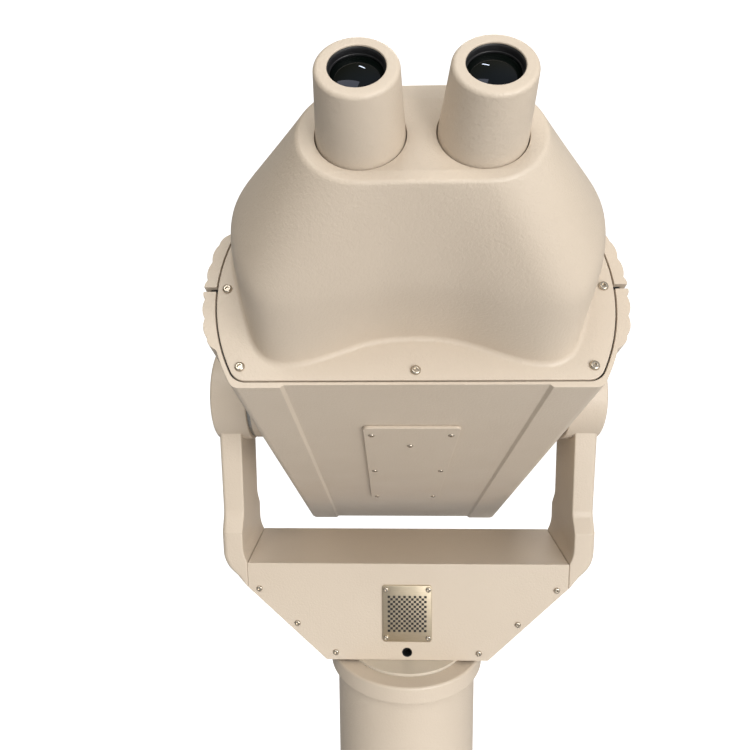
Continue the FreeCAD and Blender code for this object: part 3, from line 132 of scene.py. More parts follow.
def shade(work, sharp):
    """Smooth shading, with edges beyond an angle in degrees kept sharp."""
    limit = math.radians(sharp)
    for face in work.faces:
        face.smooth = True
    for edge in work.edges:
        edge.smooth = len(edge.link_faces) != 2 or edge.calc_face_angle(0) < limit


def softened(node, body, edge, segments=2, end_gap=0):
    """Stand a copy with rounded edges in for a CAD node. An end_gap draws its two X ends in, for a seam."""
    work = bmesh.new()
    work.from_mesh(NODES[node].data)
    bmesh.ops.remove_doubles(work, verts=work.verts, dist=CAD_SAME_POINT)
    bmesh.ops.dissolve_limit(work, angle_limit=math.radians(FLAT_ANGLE), verts=work.verts, edges=work.edges)
    limit = math.radians(HARD_ANGLE)
    hard = [e for e in work.edges if len(e.link_faces) == 2 and e.calc_face_angle(0) > limit]
    bmesh.ops.bevel(
        work, geom=hard, offset=edge * MM, segments=segments, profile=0.5,
        affect="EDGES", clamp_overlap=False, offset_type="OFFSET", harden_normals=False,
    )
    if end_gap:
        end = max(v.co.x for v in work.verts) - SEAM_REACH * MM
        for vert in work.verts:
            if abs(vert.co.x) > end:
                vert.co.x -= math.copysign(end_gap * MM, vert.co.x)
    shade(work, SOFT_SHARP)
    mesh = bpy.data.meshes.new(node + "_soft")
    work.to_mesh(mesh)
    work.free()
    mesh.materials.append(FINISH[SLOTS[node]])
    obj = linked(node + "_soft", mesh)
    modifier = obj.modifiers.new("normals", "WEIGHTED_NORMAL")
    modifier.keep_sharp = True
    enrol(obj, body, node)


class Mesh:
    """Vertices and faces gathered ring by ring."""

    def __init__(self):
        self.verts = []
        self.faces = []

    def ring(self, points):
        start = len(self.verts)
        self.verts += points
        return list(range(start, start + len(points)))

    def skin(self, a, b, closed=True):
        count = len(a)
        for i in range(count if closed else count - 1):
            j = (i + 1) % count
            self.faces.append((a[i], a[j], b[j], b[i]))

    def rings(self, loops, closed=True):
        made = [self.ring(loop) for loop in loops]
        for a, b in zip(made, made[1:]):
            self.skin(a, b, closed)
        return made

    def closed_rings(self, loops):
        """Rings joined in turn, with the first and the last one filled."""
        made = self.rings(loops)
        self.faces += [tuple(made[0]), tuple(made[-1])]

    def flat(self, *rings):
        """Fill between an outer ring and the holes inside it, all in one plane."""
        loops = [[self.verts[i] for i in ring] for ring in rings]
        index = [i for ring in rings for i in ring]
        for triangle in tessellate_polygon(loops):
            self.faces.append(tuple(index[i] for i in triangle))

    def turn_solid(self, profile, place, count=96):
        """Turn an open (radius, height) profile and fill both ends."""
        self.closed_rings(turned_loops(profile, place, count))

    def turn_hollow(self, profile, place, count=96):
        """Turn a (radius, height) profile whose last point joins its first."""
        made = self.rings(turned_loops(profile, place, count))
        self.skin(made[-1], made[0])

    def data(self, name):
        mesh = bpy.data.meshes.new(name)
        mesh.from_pydata([tuple(v) for v in self.verts], [], self.faces)
        return mesh

    def build(self, name, material, body, stands_for=None, sharp=35):
        """Make the piece: doubles merged, every face turned outwards, shaded and riding on its body."""
        mesh = self.data(name)
        mesh.validate()
        mesh.materials.append(material)
        work = bmesh.new()
        work.from_mesh(mesh)
        bmesh.ops.remove_doubles(work, verts=work.verts, dist=SAME_POINT)
        bmesh.ops.recalc_face_normals(work, faces=work.faces)
        shade(work, sharp)
        work.to_mesh(mesh)
        work.free()
        enrol(linked(name, mesh), body, stands_for)


def full_turn(count):
    return [2 * math.pi * i / count for i in range(count)]


def turned_loops(profile, place, count):
    """Loops of a turned profile; place maps (radius, angle, height) to the world."""
    return [[place(radius, turn, height) for turn in full_turn(count)] for radius, height in profile]


def circle(radius, centre, count=96):
    return [(centre[0] + radius * math.cos(t), centre[1] + radius * math.sin(t)) for t in full_turn(count)]


def fillet(start, corner, end, radius, steps=6):
    """Points of a round of a radius put on a corner of a 2-D outline."""
    start, corner, end = (Vector(p[:2]) for p in (start, corner, end))
    before = (start - corner).normalized()
    after = (end - corner).normalized()
    half = before.angle(after) / 2
    reach = radius / math.tan(half)
    centre = corner + (before + after).normalized() * (radius / math.sin(half))
    first = corner + before * reach - centre
    last = corner + after * reach - centre
    points = []
    for i in range(steps + 1):
        part = i / steps
        mixed = (first * (1 - part) + last * part).normalized() * radius
        points.append(tuple(centre + mixed))
    return points


def rounded_path(corners, steps=6):
    """Open path through (a, b, radius) corners, rounded where the radius is not 0."""
    points = [corners[0][:2]]
    for before, here, after in zip(corners, corners[1:], corners[2:]):
        points += fillet(before, here, after, here[2], steps) if here[2] else [here[:2]]
    points.append(corners[-1][:2])
    return points


def rounded_loop(corners, steps=8):
    """Closed loop through (a, b, radius) corners, each rounded."""
    points = []
    for i, here in enumerate(corners):
        points += fillet(corners[i - 1], here, corners[(i + 1) % len(corners)], here[2], steps)
    return points


def periodic_spline(points, count, steps=24):
    """Smooth closed curve through points, as count evenly spaced points: a periodic cubic spline.

    It is worked out at a number of steps between each two points before it is spaced.
    """
    knots = np.array(points, float)
    total = len(knots)
    gaps = np.linalg.norm(np.roll(knots, -1, 0) - knots, axis=1)
    system = np.zeros((total, total))
    right = np.zeros((total, 2))
    for i in range(total):
        before, after = gaps[i - 1], gaps[i]
        system[i, (i - 1) % total] += before
        system[i, i] += 2 * (before + after)
        system[i, (i + 1) % total] += after
        right[i] = 6 * ((knots[(i + 1) % total] - knots[i]) / after - (knots[i] - knots[i - 1]) / before)
    bend = np.linalg.solve(system, right)
    dense = []
    for i in range(total):
        j = (i + 1) % total
        gap = gaps[i]
        for along in np.linspace(0, gap, steps, endpoint=False):
            a, b = (gap - along) / gap, along / gap
            curve = (a**3 - a) * bend[i] + (b**3 - b) * bend[j]
            dense.append(a * knots[i] + b * knots[j] + curve * gap * gap / 6)
    dense = np.array(dense)
    run = np.concatenate([[0], np.cumsum(np.linalg.norm(np.roll(dense, -1, 0) - dense, axis=1))])
    loop = np.vstack([dense, dense[:1]])
    stops = np.linspace(0, run[-1], count, endpoint=False)
    return [(float(np.interp(s, run, loop[:, 0])), float(np.interp(s, run, loop[:, 1]))) for s in stops]


def inset_loop(loop, amount):
    """An anticlockwise closed loop moved inwards."""
    moved = []
    for i, (x, y) in enumerate(loop):
        before = loop[i - 1]
        after = loop[(i + 1) % len(loop)]
        dx, dy = after[0] - before[0], after[1] - before[1]
        length = math.hypot(dx, dy)
        moved.append((x - dy / length * amount, y + dx / length * amount))
    return moved


# ---------------------------------------------------------------- materials


def new_material(name):
    material = bpy.data.materials.new(name)
    material.use_nodes = True
    tree = material.node_tree
    tree.nodes.clear()
    output = tree.nodes.new("ShaderNodeOutputMaterial")
    shader = tree.nodes.new("ShaderNodeBsdfPrincipled")
    tree.links.new(shader.outputs["BSDF"], output.inputs["Surface"])
    return material, tree, shader


def noise(tree, scale, detail=2.0, stretch=None):
    coords = tree.nodes.new("ShaderNodeTexCoord")
    texture = tree.nodes.new("ShaderNodeTexNoise")
    texture.inputs["Scale"].default_value = scale
    texture.inputs["Detail"].default_value = detail
    source = coords.outputs["Object"]
    if stretch:
        mapping = tree.nodes.new("ShaderNodeMapping")
        mapping.inputs["Scale"].default_value = stretch
        tree.links.new(source, mapping.inputs["Vector"])
        source = mapping.outputs["Vector"]
    tree.links.new(source, texture.inputs["Vector"])
    return texture.outputs["Fac"]


def ramp(tree, factor, low, high, start=0.3, end=0.7):
    node = tree.nodes.new("ShaderNodeValToRGB")
    node.color_ramp.elements[0].position = start
    node.color_ramp.elements[1].position = end
    node.color_ramp.elements[0].color = (*low, 1)
    node.color_ramp.elements[1].color = (*high, 1)
    tree.links.new(factor, node.inputs["Fac"])
    return node.outputs["Color"]


def bump(tree, shader, height, strength, distance, under=None):
    """Bump the surface by a height in metres, over the bump of an earlier call where one is given."""
    node = tree.nodes.new("ShaderNodeBump")
    node.inputs["Strength"].default_value = strength
    node.inputs["Distance"].default_value = distance
    tree.links.new(height, node.inputs["Height"])
    if under is not None:
        tree.links.new(under, node.inputs["Normal"])
    tree.links.new(node.outputs["Normal"], shader.inputs["Normal"])
    return node.outputs["Normal"]


def powder_coat():
    """Satin cream powder coat: slight tone drift and a fine orange-peel skin."""
    material, tree, shader = new_material("powder_coat")
    drift_scale, gloss_scale, peel_scale, grain_scale = 7, 24, 520, 1300
    base = ramp(tree, noise(tree, drift_scale, 4), (0.585, 0.500, 0.405), (0.615, 0.530, 0.432))
    tree.links.new(base, shader.inputs["Base Color"])
    gloss = ramp(tree, noise(tree, gloss_scale, 3), (0.36, 0.36, 0.36), (0.46, 0.46, 0.46))
    tree.links.new(gloss, shader.inputs["Roughness"])
    peel = bump(tree, shader, noise(tree, peel_scale, 1.0), 0.42, 0.0005)
    bump(tree, shader, noise(tree, grain_scale), 0.45, 0.0003, peel)
    return material


def metal(name, low, high, roughness, grain=900, metallic=1.0, stretch=None):
    """Fine-grained surface whose tone, gloss and height all vary a little."""
    material, tree, shader = new_material(name)
    color = ramp(tree, noise(tree, grain, 3, stretch), low, high)
    tree.links.new(color, shader.inputs["Base Color"])
    shader.inputs["Metallic"].default_value = metallic
    rough = ramp(tree, noise(tree, grain * 0.4), (roughness * 0.8,) * 3, (roughness * 1.2,) * 3)
    tree.links.new(rough, shader.inputs["Roughness"])
    bump(tree, shader, noise(tree, grain * 1.5), 0.06, 0.0001)
    return material


def plastic(name, low, high, roughness, grain=500):
    return metal(name, low, high, roughness, grain, 0.0)


def lens_glass():
    """Coated glass seen against the black inside of the tube."""
    material, tree, shader = new_material("lens_glass")
    tint = ramp(tree, noise(tree, 60), (0.0010, 0.0022, 0.0016), (0.0022, 0.0036, 0.0028))
    tree.links.new(tint, shader.inputs["Base Color"])
    shader.inputs["Roughness"].default_value = 0.02
    shader.inputs["IOR"].default_value = 1.3  # below that of glass, for the weak mirror of a coated lens
    shader.inputs["Specular Tint"].default_value = (0.62, 0.68, 0.95, 1)
    return material


POWDER = powder_coat()
STEEL = metal("stainless", (0.42, 0.37, 0.30), (0.60, 0.54, 0.46), 0.25)
MACHINED = metal("machined_steel", (0.28, 0.28, 0.28), (0.42, 0.42, 0.41), 0.35)
PLATE = metal("champagne_metal", (0.50, 0.43, 0.32), (0.58, 0.50, 0.38), 0.42, 160, stretch=(1, 1, 26))
BRONZE = metal("bronze", (0.42, 0.27, 0.12), (0.55, 0.38, 0.18), 0.35)
ALUMINIUM = metal("aluminium", (0.55, 0.55, 0.56), (0.70, 0.70, 0.71), 0.4)
BLACK = plastic("black_anodised", (0.008, 0.008, 0.009), (0.015, 0.015, 0.017), 0.5)
ENAMEL = plastic("dark_enamel", (0.012, 0.011, 0.010), (0.022, 0.020, 0.018), 0.35)
RUBBER = plastic("rubber", (0.008, 0.008, 0.008), (0.016, 0.016, 0.016), 0.75)
NYLON = plastic("nylon", (0.56, 0.50, 0.41), (0.59, 0.53, 0.44), 0.38, 40)
BOARD = plastic("board", (0.01, 0.09, 0.03), (0.02, 0.14, 0.05), 0.4)
DARK = plastic("dark_plastic", (0.02, 0.022, 0.026), (0.03, 0.033, 0.038), 0.5)
GLASS = lens_glass()

FINISH = {
    "powder_coat": POWDER,
    "powder_coat_steel": POWDER,
    "payment_metal": PLATE,
    "stainless": STEEL,
    "machined_steel": MACHINED,
    "bearing_bronze": BRONZE,
    "cast_aluminium": ALUMINIUM,
    "black_anodised": BLACK,
    "nylon": NYLON,
    "seal_rubber": RUBBER,
    "optical_glass": GLASS,
    "circuit_board": BOARD,
    "battery_case": DARK,
    "motor_case": DARK,
}
# CAD nodes drawn black instead of their slot's finish; on the pan drag screw the black is painted shade in its
# hole.
DRAWN_BLACK = ("pan_drag_screw", "rear_bulkhead", "front_bulkhead")


def dress_cad_nodes():
    """Give every carried CAD node the finish of its slot, apart from those drawn black; on the pan drag screw that
    black is painted shade in its hole.
    """
    for node, slot in SLOTS.items():
        materials = NODES[node].data.materials
        materials.clear()
        materials.append(BLACK if node in DRAWN_BLACK else FINISH[slot])


# ---------------------------------------------------------------- user-side cover

RIM = extent("housing_lower", U_AXIS)[1]
COVER_HALF = extent("rear_cover", X_AXIS)[1]
COVER_V = extent("front_cover", V_AXIS)
PARTING = centre_of(COVER_V)
COVER_HALF_HEIGHT = (COVER_V[1] - COVER_V[0]) / 2
COVER_CORNER = 12
CORNER_STEPS = 12
COVER_EDGE = 0.7
SIDE_CENTRE = 1.8  # the bulging sides are arcs whose centres lie this far from the middle
FLANGE = RIM - extent("rear_bulkhead", U_AXIS)[1]
HUMP_HEIGHT = extent("rear_cover", U_AXIS)[1] - RIM
HUMP_WALL = 3.2
SHOULDER = 60  # height where the hump's slope changes
SHOULDER_SOFT = 9
FOOT_ROUND = 3.6
PLATEAU_ROUND = 1.8
PLATEAU_LOW = -30.3
PLATEAU_HIGH = 37.8
PLATEAU_HALF = 66
EYE_X = centre_of(extent("right_eyepiece", X_AXIS))
EYE_V = centre_of(extent("right_eyepiece", V_AXIS))
EYE_HOLE = 24.3
HOLE_LIP = [(0.5, 0), (0.15, 0.15), (0, 0.5), (0, HUMP_WALL)]  # (added to the radius, depth)
AROUND = 288  # points around the hump
HUMP_STEPS = 58  # sections between the foot and the plateau
FIRST_STEP = 2  # from the foot's last section to the next one

# Right half of the hump's foot and shoulder, as (x, v) from the lower middle to the upper middle.
FOOT_LINE = [(0, -52), (28, -54.6), (53, -63), (74, -70), (89, -71.4), (101, -66.8), (109.5, -55),
             (115.5, -39), (121.5, -20), (127.5, 0), (130.8, 17), (128.6, 31), (119.5, 42.5),
             (103, 49), (78, 50), (40, 50), (0, 50)]
SHOULDER_LINE = [(0, -49), (25, -50.6), (48, -55.6), (66, -59), (80, -60.2), (94, -57), (103.5, -49),
                 (111, -36), (116.5, -19), (119, -2), (118, 15), (112.6, 29), (102, 40),
                 (86, 46), (66, 48), (34, 48.4), (0, 48.4)]


def plateau_line():
    """Right half of the plateau, with as many points as the lines above: straight, half round, straight."""
    bend = (PLATEAU_HIGH - PLATEAU_LOW) / 2
    flat = PLATEAU_HALF - bend
    points = [(flat * part, PLATEAU_LOW) for part in (0, 0.34, 0.68, 0.9)]
    for k in range(10):
        turn = math.radians(-90 + 20 * k)
        points.append((flat + bend * math.cos(turn), PLATEAU_LOW + bend + bend * math.sin(turn)))
    return points + [(flat * part, PLATEAU_HIGH) for part in (0.8, 0.4, 0)]


def hump_section(height, inset):
    """Closed section of the hump at a height above the rim, moved in by inset.

    It runs in a straight line from the foot to the shoulder and on to the plateau, with a soft bend between.
    """
    span = HUMP_HEIGHT - SHOULDER
    rise = ((height - SHOULDER) + math.hypot(height - SHOULDER, SHOULDER_SOFT)) / 2
    ground = (math.hypot(SHOULDER, SHOULDER_SOFT) - SHOULDER) / 2
    summit = (span + math.hypot(span, SHOULDER_SOFT)) / 2
    upper = (rise - ground) / (summit - ground)
    lower = (height - upper * span) / SHOULDER
    right = []
    for a, b, c in zip(FOOT_LINE, SHOULDER_LINE, plateau_line()):
        right.append(tuple(a[i] + (b[i] - a[i]) * lower + (c[i] - b[i]) * upper for i in (0, 1)))
    knots = right + [(-x, v) for x, v in reversed(right[1:-1])]
    return inset_loop(periodic_spline(knots, AROUND), inset)


def hump_rings(wall, steps):
    """Sections through (height, inset) steps and on to a rounded plateau, as world points."""
    top = HUMP_HEIGHT - wall - PLATEAU_ROUND
    steps = steps + [(float(h), 0) for h in np.linspace(steps[-1][0] + FIRST_STEP, top, HUMP_STEPS)]
    for turn in QUARTER_TURN:
        steps.append((top + PLATEAU_ROUND * math.sin(turn), PLATEAU_ROUND * (1 - math.cos(turn))))
    return [[head_point(x, RIM + h, v) for x, v in hump_section(h, wall + inset)] for h, inset in steps]


def foot_steps():
    """The hollow round where the hump meets the flange, as (height, inset) from the flange up."""
    turns = QUARTER_TURN[::-1] + [0]
    return [(FOOT_ROUND * (1 - math.sin(t)), -FOOT_ROUND * (1 - math.cos(t))) for t in turns]


def cover_outline(inset, steps=40):
    """The cover's outline, anticlockwise: bulging sides, flat top and bottom, round corners."""
    corner = COVER_CORNER - inset
    bulge = COVER_HALF - SIDE_CENTRE - inset
    corner_w = COVER_HALF_HEIGHT - inset - corner
    corner_x = SIDE_CENTRE + math.sqrt((bulge - corner) ** 2 - corner_w**2)
    lean = math.atan2(corner_w, corner_x - SIDE_CENTRE)
    quarter = [(SIDE_CENTRE + bulge * math.cos(t), bulge * math.sin(t)) for t in np.linspace(0, lean, steps)]
    quarter += [(corner_x + corner * math.cos(t), corner_w + corner * math.sin(t))
                for t in np.linspace(lean, math.pi / 2, CORNER_STEPS)[1:]]
    loop = quarter + [(-x, w) for x, w in reversed(quarter)]
    loop += [(-x, -w) for x, w in quarter[1:]] + [(x, -w) for x, w in reversed(quarter[1:])]
    return [(float(x), float(PARTING + w)) for x, w in loop]


def rear_cover():
    """Cast cover: flange, waisted hump and flat plateau with the two eyepiece holes."""
    shape = Mesh()
    edge_turns = (0, 0.4, 0.8, 1.2, math.pi / 2)
    rim_steps = [(0, FLANGE)]
    rim_steps += [(COVER_EDGE * (1 - math.cos(t)), COVER_EDGE * (1 - math.sin(t))) for t in edge_turns]
    flange = shape.rings(
        [[head_point(x, RIM - depth, v) for x, v in cover_outline(inset)] for inset, depth in rim_steps]
    )
    outside = shape.rings(hump_rings(0, foot_steps()))
    shape.flat(flange[-1], outside[0])
    inside = shape.rings(hump_rings(HUMP_WALL, [(-FLANGE, 0)]))
    shape.flat(flange[0], inside[0])
    lips = []
    for side in (-1, 1):
        loops = []
        for wider, depth in HOLE_LIP:
            around = circle(EYE_HOLE + wider, (side * EYE_X, EYE_V))
            loops.append([head_point(x, RIM + HUMP_HEIGHT - depth, v) for x, v in around])
        lips.append(shape.rings(loops))
    shape.flat(outside[-1], *[lip[0] for lip in lips])
    shape.flat(inside[-1], *[lip[-1] for lip in lips])
    shape.build("rear_cover_shell", POWDER, "head", "rear_cover", sharp=40)


# ---------------------------------------------------------------- eyepieces

BARREL_RADIUS = 23.7
BARREL_FOOT_ROUND = 0.6
BARREL_TIP_RADIUS = 20.35
BARREL_TIP_ROUND = 2.5
BARREL_BORE = 13.9
BORE_ROUND = 0.6
BORE_LAND = 0.9
GUIDE_ROOM = 19.1  # radius of the wide bore that turns on the focus guide
GUIDE_ROOM_DEPTH = 20
CELL_ROOM = 15.1
CELL_RADIUS = 15
CELL_BORE = 13
CELL_SUNK = 1
RETAINER = [(13.7, 0), (13.4, 0.3), (13.2, 1.0), (13.2, 3.4), (13.0, 3.6)]  # (radius, depth in the cell)
GLASS_RADIUS = 12.98
GLASS_CROWN = 2.4
GLASS_SUNK = 4.4
GLASS_EDGE = 5
DOME_TIP = 0.4  # radius of the dome's last ring
DOME_RINGS = 24
FIELD_LENS_EDGE = 4
FIELD_LENS_CROWN = 1.2
FIELD_LENS_FLAT = 8


def turned(side, radius, turn, u):
    """Point about an eyepiece's axis."""
    return head_point(side * EYE_X + radius * math.cos(turn), u, EYE_V + radius * math.sin(turn))


def barrel(side, hand, start, end):
    """Tapered barrel with a full round rim."""
    outside = rounded_path([
        (GUIDE_ROOM, start, 0),
        (BARREL_RADIUS, start, BARREL_FOOT_ROUND),
        (BARREL_RADIUS, RIM + HUMP_HEIGHT, 0),
        (BARREL_TIP_RADIUS, end, BARREL_TIP_ROUND),
        (BARREL_BORE, end, BORE_ROUND),
        (BARREL_BORE, end - BORE_LAND, 0),
    ], 9)
    step = start + GUIDE_ROOM_DEPTH
    inside = [(CELL_ROOM, end - BORE_LAND), (CELL_ROOM, step), (GUIDE_ROOM, step)]
    shape = Mesh()
    shape.turn_hollow(outside + inside, partial(turned, side), 128)
    shape.build(f"{hand}_eyepiece_barrel", POWDER, f"{hand}_eyepiece_ring", f"{hand}_eyepiece", sharp=40)


def lens_cell(side, hand, end):
    """Black tube with the retaining ring at its end."""
    start = extent(f"{hand}_lens_cell", U_AXIS)[0]
    tube = [(CELL_BORE, start), (CELL_RADIUS, start), (CELL_RADIUS, end)]
    tube += [(radius, end - depth) for radius, depth in RETAINER]
    shape = Mesh()
    shape.turn_hollow(tube, partial(turned, side))
    shape.build(f"{hand}_cell_tube", BLACK, f"{hand}_focus_carriage", f"{hand}_lens_cell")


def glasses(side, hand, cell_end):
    """Domed eye lens near the cell's end, and the field lens at its start."""
    rim = cell_end - GLASS_SUNK
    radii = [float(r) for r in np.linspace(GLASS_RADIUS, DOME_TIP, DOME_RINGS)]
    dome = [(r, rim + GLASS_CROWN * (1 - (r / GLASS_RADIUS) ** 2)) for r in radii]
    start = extent(f"{hand}_eye_lens", U_AXIS)[0]
    edge = start + FIELD_LENS_EDGE
    field = [(GLASS_RADIUS, start), (GLASS_RADIUS, edge), (FIELD_LENS_FLAT, edge + FIELD_LENS_CROWN)]
    shape = Mesh()
    shape.turn_solid([(GLASS_RADIUS, rim - GLASS_EDGE)] + dome, partial(turned, side))
    shape.turn_solid(field, partial(turned, side))
    shape.build(f"{hand}_glass", GLASS, f"{hand}_focus_carriage", f"{hand}_eye_lens")


def eyepiece(side, hand):
    start, end = extent(f"{hand}_eyepiece", U_AXIS)
    barrel(side, hand, start, end)
    lens_cell(side, hand, end - CELL_SUNK)
    glasses(side, hand, end - CELL_SUNK)


# ---------------------------------------------------------------- fasteners

SCREW_SIDES = 36
# Shares of the head's radius. Points of the CAD screw beyond the first one belong to its head.
HEAD_POINTS = 0.96
SHANK_RADIUS = 0.5
SEAT_RADIUS = 0.97
CROWN_RADIUS = 0.56
# Shares of the head's height.
SHANK_LENGTH = 2.2
SEAT_EDGE = 0.1
CROWN_START = 0.15
SOCKET_TOP = 0.96
SOCKET_FLOOR = 0.35
# Share of the socket's radius.
SOCKET_RIM = 1.12


def screw_head(shape, base, up, radius, height, socket):
    """Domed head with a hexagon socket, and its shank, along a direction."""
    side = up.orthogonal().normalized()
    across = up.cross(side)

    def loop(size, level, six_sided=False):
        points = []
        for turn in full_turn(SCREW_SIDES):
            reach = size
            if six_sided:
                from_flat = (turn + math.pi / 6) % (math.pi / 3) - math.pi / 6
                reach = size * math.cos(math.pi / 6) / math.cos(from_flat)
            outwards = side * math.cos(turn) + across * math.sin(turn)
            points.append(base + outwards * reach * MM + up * level * MM)
        return points

    loops = [
        loop(radius * SHANK_RADIUS, -height * SHANK_LENGTH),
        loop(radius * SHANK_RADIUS, 0),
        loop(radius * SEAT_RADIUS, 0),
        loop(radius, height * SEAT_EDGE),
    ]
    for turn in QUARTER_TURN:
        narrower = (1 - CROWN_RADIUS) * (1 - math.cos(turn))
        level = CROWN_START + (1 - CROWN_START) * math.sin(turn)
        loops.append(loop(radius * (1 - narrower), height * level))
    loops.append(loop(socket * SOCKET_RIM, height))
    loops.append(loop(socket, height * SOCKET_TOP, six_sided=True))
    loops.append(loop(socket, height * SOCKET_FLOOR, six_sided=True))
    shape.closed_rings(loops)


def dress_screws(node, axis, socket, body):
    """New heads where the CAD has screws; each island says where and how big."""
    shape = Mesh()
    side = axis.orthogonal().normalized()
    across = axis.cross(side)
    for points in islands(node):
        centre = Vector()
        for direction in (side, across):
            reach = [p.dot(direction) for p in points]
            centre += direction * centre_of((min(reach), max(reach)))
        along = [p.dot(axis) for p in points]
        off = [(p - axis * a - centre).length for p, a in zip(points, along)]
        radius = max(off)
        head = [a for a, r in zip(along, off) if r > radius * HEAD_POINTS]
        if max(head) > centre_of((min(along), max(along))):
            seat, top, up = min(head), max(along), axis
        else:
            seat, top, up = max(head), min(along), -axis
        screw_head(shape, centre + axis * seat, up, radius / MM, abs(top - seat) / MM, socket)
    shape.build(node + "_heads", STEEL, body, node, sharp=30)


# ---------------------------------------------------------------- yoke arms

SHELF = extent("yoke_base", Z_AXIS, YOKE)[1]
BASE_HALF_DEPTH = -extent("front_plate", Y_AXIS)[0]
FOOT_X = extent("yoke_base", X_AXIS)[1]
SLOPE_DROP = 81.8  # the base's 45 degree slope keeps x - z at this
FOOT_Z = FOOT_X - SLOPE_DROP
TILT_Z = (TILT - YOKE).z / MM
HUB_INNER, HUB_OUTER = extent("right_arm", X_AXIS)
HUB_RADIUS = extent("right_arm", Y_AXIS)[1]
HUB_BORE = 24
HUB_INNER_EDGE = 1.2
HUB_OUTER_EDGE = 3.4
CAP_RADIUS = 36
CAP_EDGE = 0.6
CAP_SUNK = 5.6
ARM_INNER = 170
ARM_OUTER = 193.4
ARM_FOOT_OUTER = 191.4
ARM_HALF_DEPTH = 33
ARM_BEND_RISE = 9
ARM_INNER_BEND = 38
ARM_OUTER_BEND = 30
STEP_LOW = 143.6  # between these two heights the arm narrows from the base's depth to its own
STEP_LOW_ROUND = 1.2
STEP_HIGH = 160
STEP_HIGH_ROUND = 16
FOOT_EDGE = 6.5  # outer corners of the foot
ARM_EDGE = 4.2  # and of the arm above it
ARM_INSIDE_EDGE = 1.4
ARM_START = 0.4  # the seam between the base and the arm
ARM_SUNK = 26  # the upright ends this far under the tilt axis, inside the hub
THIN_OUTSIDE = 0.55  # where the foot is thin, its rounds take at most these shares of its thickness
THIN_INSIDE = 0.3
FOOT_STEP = 0.9
FOOT_STEPS = 28
UPRIGHT_START = 26  # above the foot
UPRIGHT_STEP = 2.2
UPRIGHT_STEPS = 32


def arm_paths():
    """Inner side, outer side and half depth of an arm, each as (z, reach) points."""
    inner = rounded_path([
        (FOOT_Z, FOOT_X, 0),
        (SHELF, FOOT_X, 0),
        (SHELF + ARM_BEND_RISE, ARM_INNER, ARM_INNER_BEND),
        (TILT_Z, ARM_INNER, 0),
    ], 14)
    outer = rounded_path([
        (FOOT_Z, FOOT_X, 0),
        (ARM_FOOT_OUTER - SLOPE_DROP, ARM_FOOT_OUTER, ARM_OUTER_BEND),
        (TILT_Z, ARM_OUTER, 0),
    ], 14)
    depth = rounded_path([
        (FOOT_Z, BASE_HALF_DEPTH, 0),
        (STEP_LOW, BASE_HALF_DEPTH, STEP_LOW_ROUND),
        (STEP_HIGH, ARM_HALF_DEPTH, STEP_HIGH_ROUND),
        (TILT_Z, ARM_HALF_DEPTH, 0),
    ], 10)
    return inner, outer, depth


def arm_section(side, x_in, x_out, half, outer_edge):
    """Rectangle in X and Y, with rounder corners on the outside than on the inside."""
    outer_edge = min(outer_edge, (x_out - x_in) * THIN_OUTSIDE)
    inner_edge = min(ARM_INSIDE_EDGE, (x_out - x_in) * THIN_INSIDE)
    corners = [(x_in, -half, inner_edge), (x_out, -half, outer_edge), (x_out, half, outer_edge),
               (x_in, half, inner_edge)]
    return [(side * x, y) for x, y in rounded_loop(corners)]


def arm_stops(paths):
    """Heights of an arm's sections: close together in the foot, and at every point of its paths."""
    low = FOOT_Z + ARM_START
    top = TILT_Z - ARM_SUNK
    stops = [low + FOOT_STEP * i for i in range(FOOT_STEPS)]
    stops += [FOOT_Z + UPRIGHT_START + UPRIGHT_STEP * i for i in range(UPRIGHT_STEPS)]
    stops += [z for path in paths for z, _ in path[1:-1]]
    return sorted({round(z, 3) for z in stops if low <= z < top} | {top})


def arm(side, hand):
    """Cast arm with its tilt hub."""
    paths = arm_paths()
    loops = []
    for z in arm_stops(paths):
        x_in, x_out, half = (float(np.interp(z, *zip(*path))) for path in paths)
        share = min(max((z - STEP_LOW) / (STEP_HIGH - STEP_LOW), 0), 1)
        section = arm_section(side, x_in, x_out, half, FOOT_EDGE + (ARM_EDGE - FOOT_EDGE) * share)
        loops.append([yoke_point(x, y, z) for x, y in section])
    shape = Mesh()
    shape.closed_rings(loops)

    def place(radius, turn, x):
        return yoke_point(side * x, radius * math.cos(turn), TILT_Z + radius * math.sin(turn))

    hub = rounded_path([
        (HUB_BORE, HUB_INNER, 0),
        (HUB_RADIUS, HUB_INNER, HUB_INNER_EDGE),
        (HUB_RADIUS, HUB_OUTER, HUB_OUTER_EDGE),
        (CAP_RADIUS, HUB_OUTER, CAP_EDGE),
        (CAP_RADIUS, HUB_OUTER - CAP_SUNK, 0),
        (HUB_BORE, HUB_OUTER - CAP_SUNK, 0),
    ], 8)
    shape.turn_hollow(hub, place, 128)
    shape.build(f"{hand}_arm_casting", POWDER, "yoke", f"{hand}_arm", sharp=32)


# ---------------------------------------------------------------- front of the yoke

PAYMENT_CORNER = 3.4
PAYMENT_EDGE = 0.45
GRID_PITCH = 2.7
GRID_COUNT = 15
TILE_HALF = 0.49 * GRID_PITCH
TILE_HEIGHT = 0.06
TILE_SUNK = 0.05
# Sizes of the black tube that paints shade into the drag screw's hole.
SHADE_TUBE_ROOM = 0.45  # between the drag screw and the shade tube's bore
SHADE_TUBE_REACH = 1.1  # from the drag screw to the shade tube's outside
SHADE_TUBE_LENGTH = 12
SHADE_TUBE_CHAMFER = 0.3


